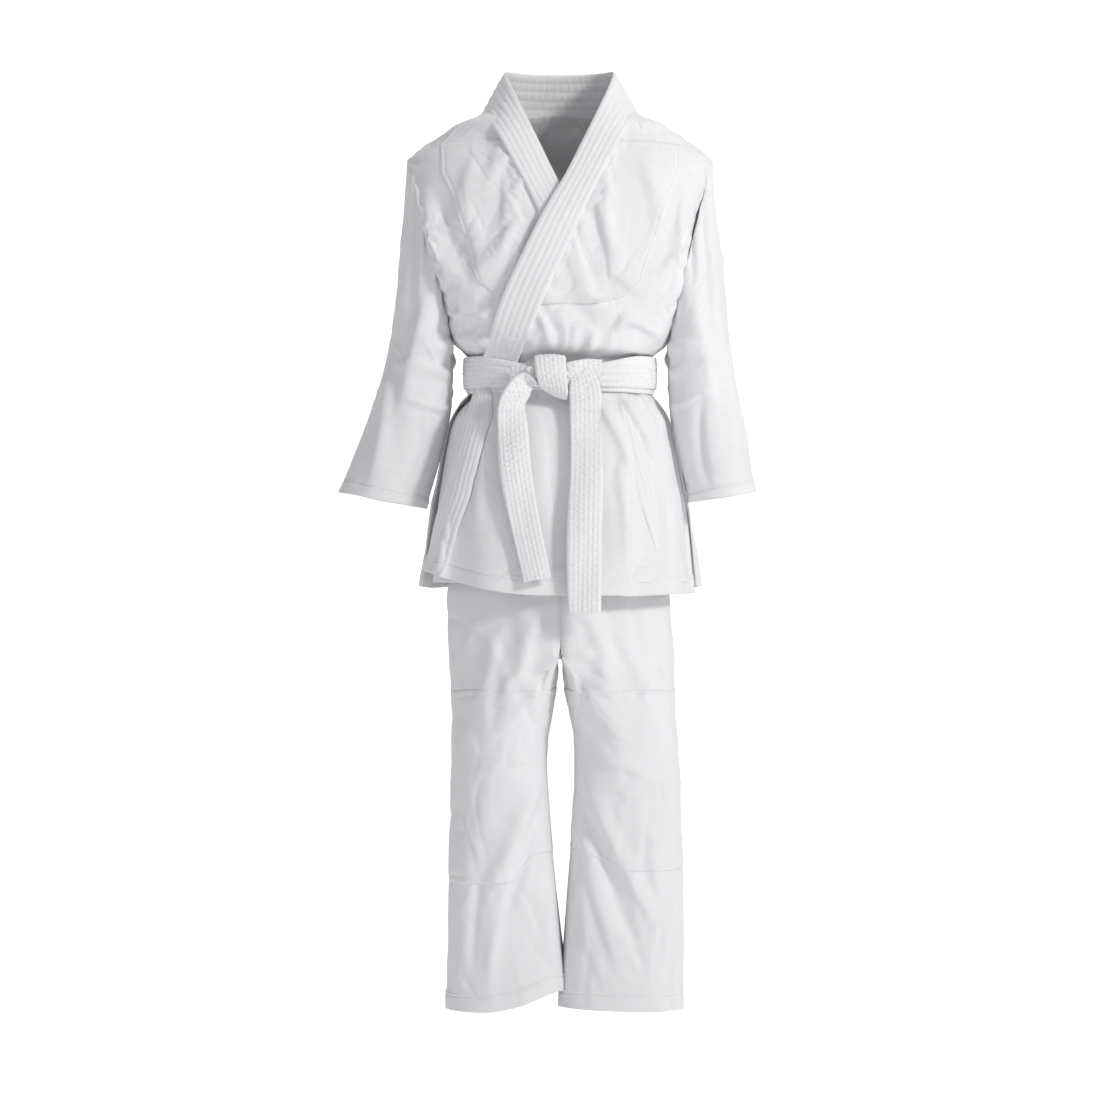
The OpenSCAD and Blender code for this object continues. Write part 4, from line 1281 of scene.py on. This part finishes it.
def make_leg(side, name, shin, nodes):
    rows, columns = ((300, 168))
    small = creases(80, (10, 150), (-1110, -600), 90, 35, (40, 120), (4, 9), (0.4, 1.5))
    small_back = creases(50, (10, 150), (-1110, -400), 90, 35, (40, 120), (4, 9), (0.4, 1.5))

    def turn_of(v):
        return np.radians(360 * v) * side

    def make(u, v):
        turn = turn_of(v)
        z = mix(LEG_TOP, leg_low(side, turn), u)
        grid = leg_point(side, turn, z)
        x = np.abs(grid[..., 0])
        front = ease(0.5 - grid[..., 1] / 30)
        height = mix(fold_field(x, z, LEG_BACK_FOLDS + small_back),
                     fold_field(x, z, LEG_FOLDS[side] + small), front)
        height = height * ease((LEG_TOP - 30 - z) / 60) * (0.25 + 0.75 * ease((x - 4) / 18))
        return raise_folds(grid, height, True)

    def relief(u, v):
        turn = turn_of(v)
        low = leg_low(side, turn)
        z = mix(LEG_TOP, low, u)
        outseam = groove(((v + 0.5) % 1 - 0.5) * LEG_ROUND, 2.0, 0.7)
        inseam = groove(((v % 1) - 0.5) * LEG_ROUND, 2.0, 0.7) * (z < CROTCH_Z)
        return hem_height(z - low) + outseam + inseam

    def pins(u, v):
        turn = turn_of(v)
        z = mix(LEG_TOP, leg_low(side, turn), u)
        middle = ease(1 - np.cos(turn) / 0.25) * (z > CROTCH_Z - 12)
        return np.clip(ease(1 - u / 0.06) + middle, 0, 1)

    def keep(u, v):
        below = np.concatenate([u[1:], u[-1:]])
        z = mix(LEG_TOP, LEG_LOW, (u + below) / 2)
        return (z < CROTCH_Z) | (np.cos(turn_of(v + 0.5 / v.shape[1])) > 0)

    sheet = Sheet(name, make, (rows, columns), pins, TROUSER_CLOTH, relief, ring=True,
                  growth=0.022, cap=7, keep=keep, hem=HEM_ZONE / LEG_LENGTH)
    rows = hem_rows(HEM_STITCHES, LEG_LENGTH)
    thread = add_stitches(name + "_hem_stitches", *stitch_lines(sheet, rows, 240))
    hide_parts(*nodes)

    # the knee patch goes round the front half of the leg
    def spot(a, b):
        v = mix(0.515, 0.975, b) if side > 0 else 1 - mix(0.975, 0.515, b)
        if side > 0:
            low = mix(-930, -947, ease((b - 0.3) / 0.25))
        else:
            low = mix(-963, -928, ease((b - 0.5) / 0.25))
        z = mix(-725, low, a)
        return (z - LEG_TOP) / (leg_low(side, turn_of(v)) - LEG_TOP), v

    patch = add_patch(name + "_knee_patch", sheet, spot, fine(120, 90), TROUSER_CLOTH, 0.3, 1.1)
    seams = rim_lines(spot, 0.02) + [lambda s: spot(s, np.full_like(s, 0.5))]
    patch_thread = add_stitches(name + "_knee_stitches", *stitch_lines(sheet, seams, 150, 1.5))
    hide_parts("knee_patch_upper_" + shin[5:], "knee_patch_lower_" + shin[5:])
    for thing in (sheet.thing, thread, patch, patch_thread):
        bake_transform(thing)
    declare(sheet)


for side, which in ((1, "left"), (-1, "right")):
    make_leg(side, f"leg_{which}_cloth", f"shin_{which}",
             (f"hips_{which}", f"thigh_{which}", f"shin_{which}", f"leg_hem_{which}"))


def make_waistband():
    """A gathered channel round the elastic."""
    rows, columns = fine(24, 420)
    u, v = ring_shares(rows, columns)
    t = 360 * v
    grid = oval(TROUSERS, t, mix(-321, -363, u), 0.6)
    ripple = np.sin(np.radians(t) * 74 + 1.5 * np.sin(np.radians(t) * 5)) * (0.4 + 0.5 * np.sin(np.pi * u))
    n = normals(grid, True)
    rows_of_thread = sum(groove(u * 42 - row, 1.4, 0.5) for row in (6, 21, 36))
    outer = grid + n * (ripple + rows_of_thread)[..., None]
    inner = grid - n * (5.2 - ripple * 0.5 + rows_of_thread)[..., None]
    band = add_shell("waistband_cloth", outer, inner, TROUSER_CLOTH, True)
    wear(band, "trousers")
    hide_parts("waistband")
    declare_cut(band, outer, ring=True)


def make_crotch_gusset():
    """The strip under the crotch that joins the legs."""
    u, v = shares(*fine(60, 16))
    y = mix(-92, 92, u)
    x = mix(15, -15, v)
    grid = np.stack([x, y, CROTCH_Z - 1 + 10 * (y / 92) ** 2 - 2 * np.cos(x / 15 * 1.5)], -1)
    n = normals(grid)
    wrinkle = 0.5 * np.sin(y / 7) * np.sin(x / 5)
    strip = add_shell("crotch_gusset_cloth", grid + n * (0.9 + wrinkle)[..., None],
                      grid + n * (wrinkle - 0.9)[..., None], TROUSER_CLOTH)
    wear(strip, "trousers")
    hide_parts("crotch_gusset")
    declare_cut(strip, grid)


make_waistband()
make_crotch_gusset()
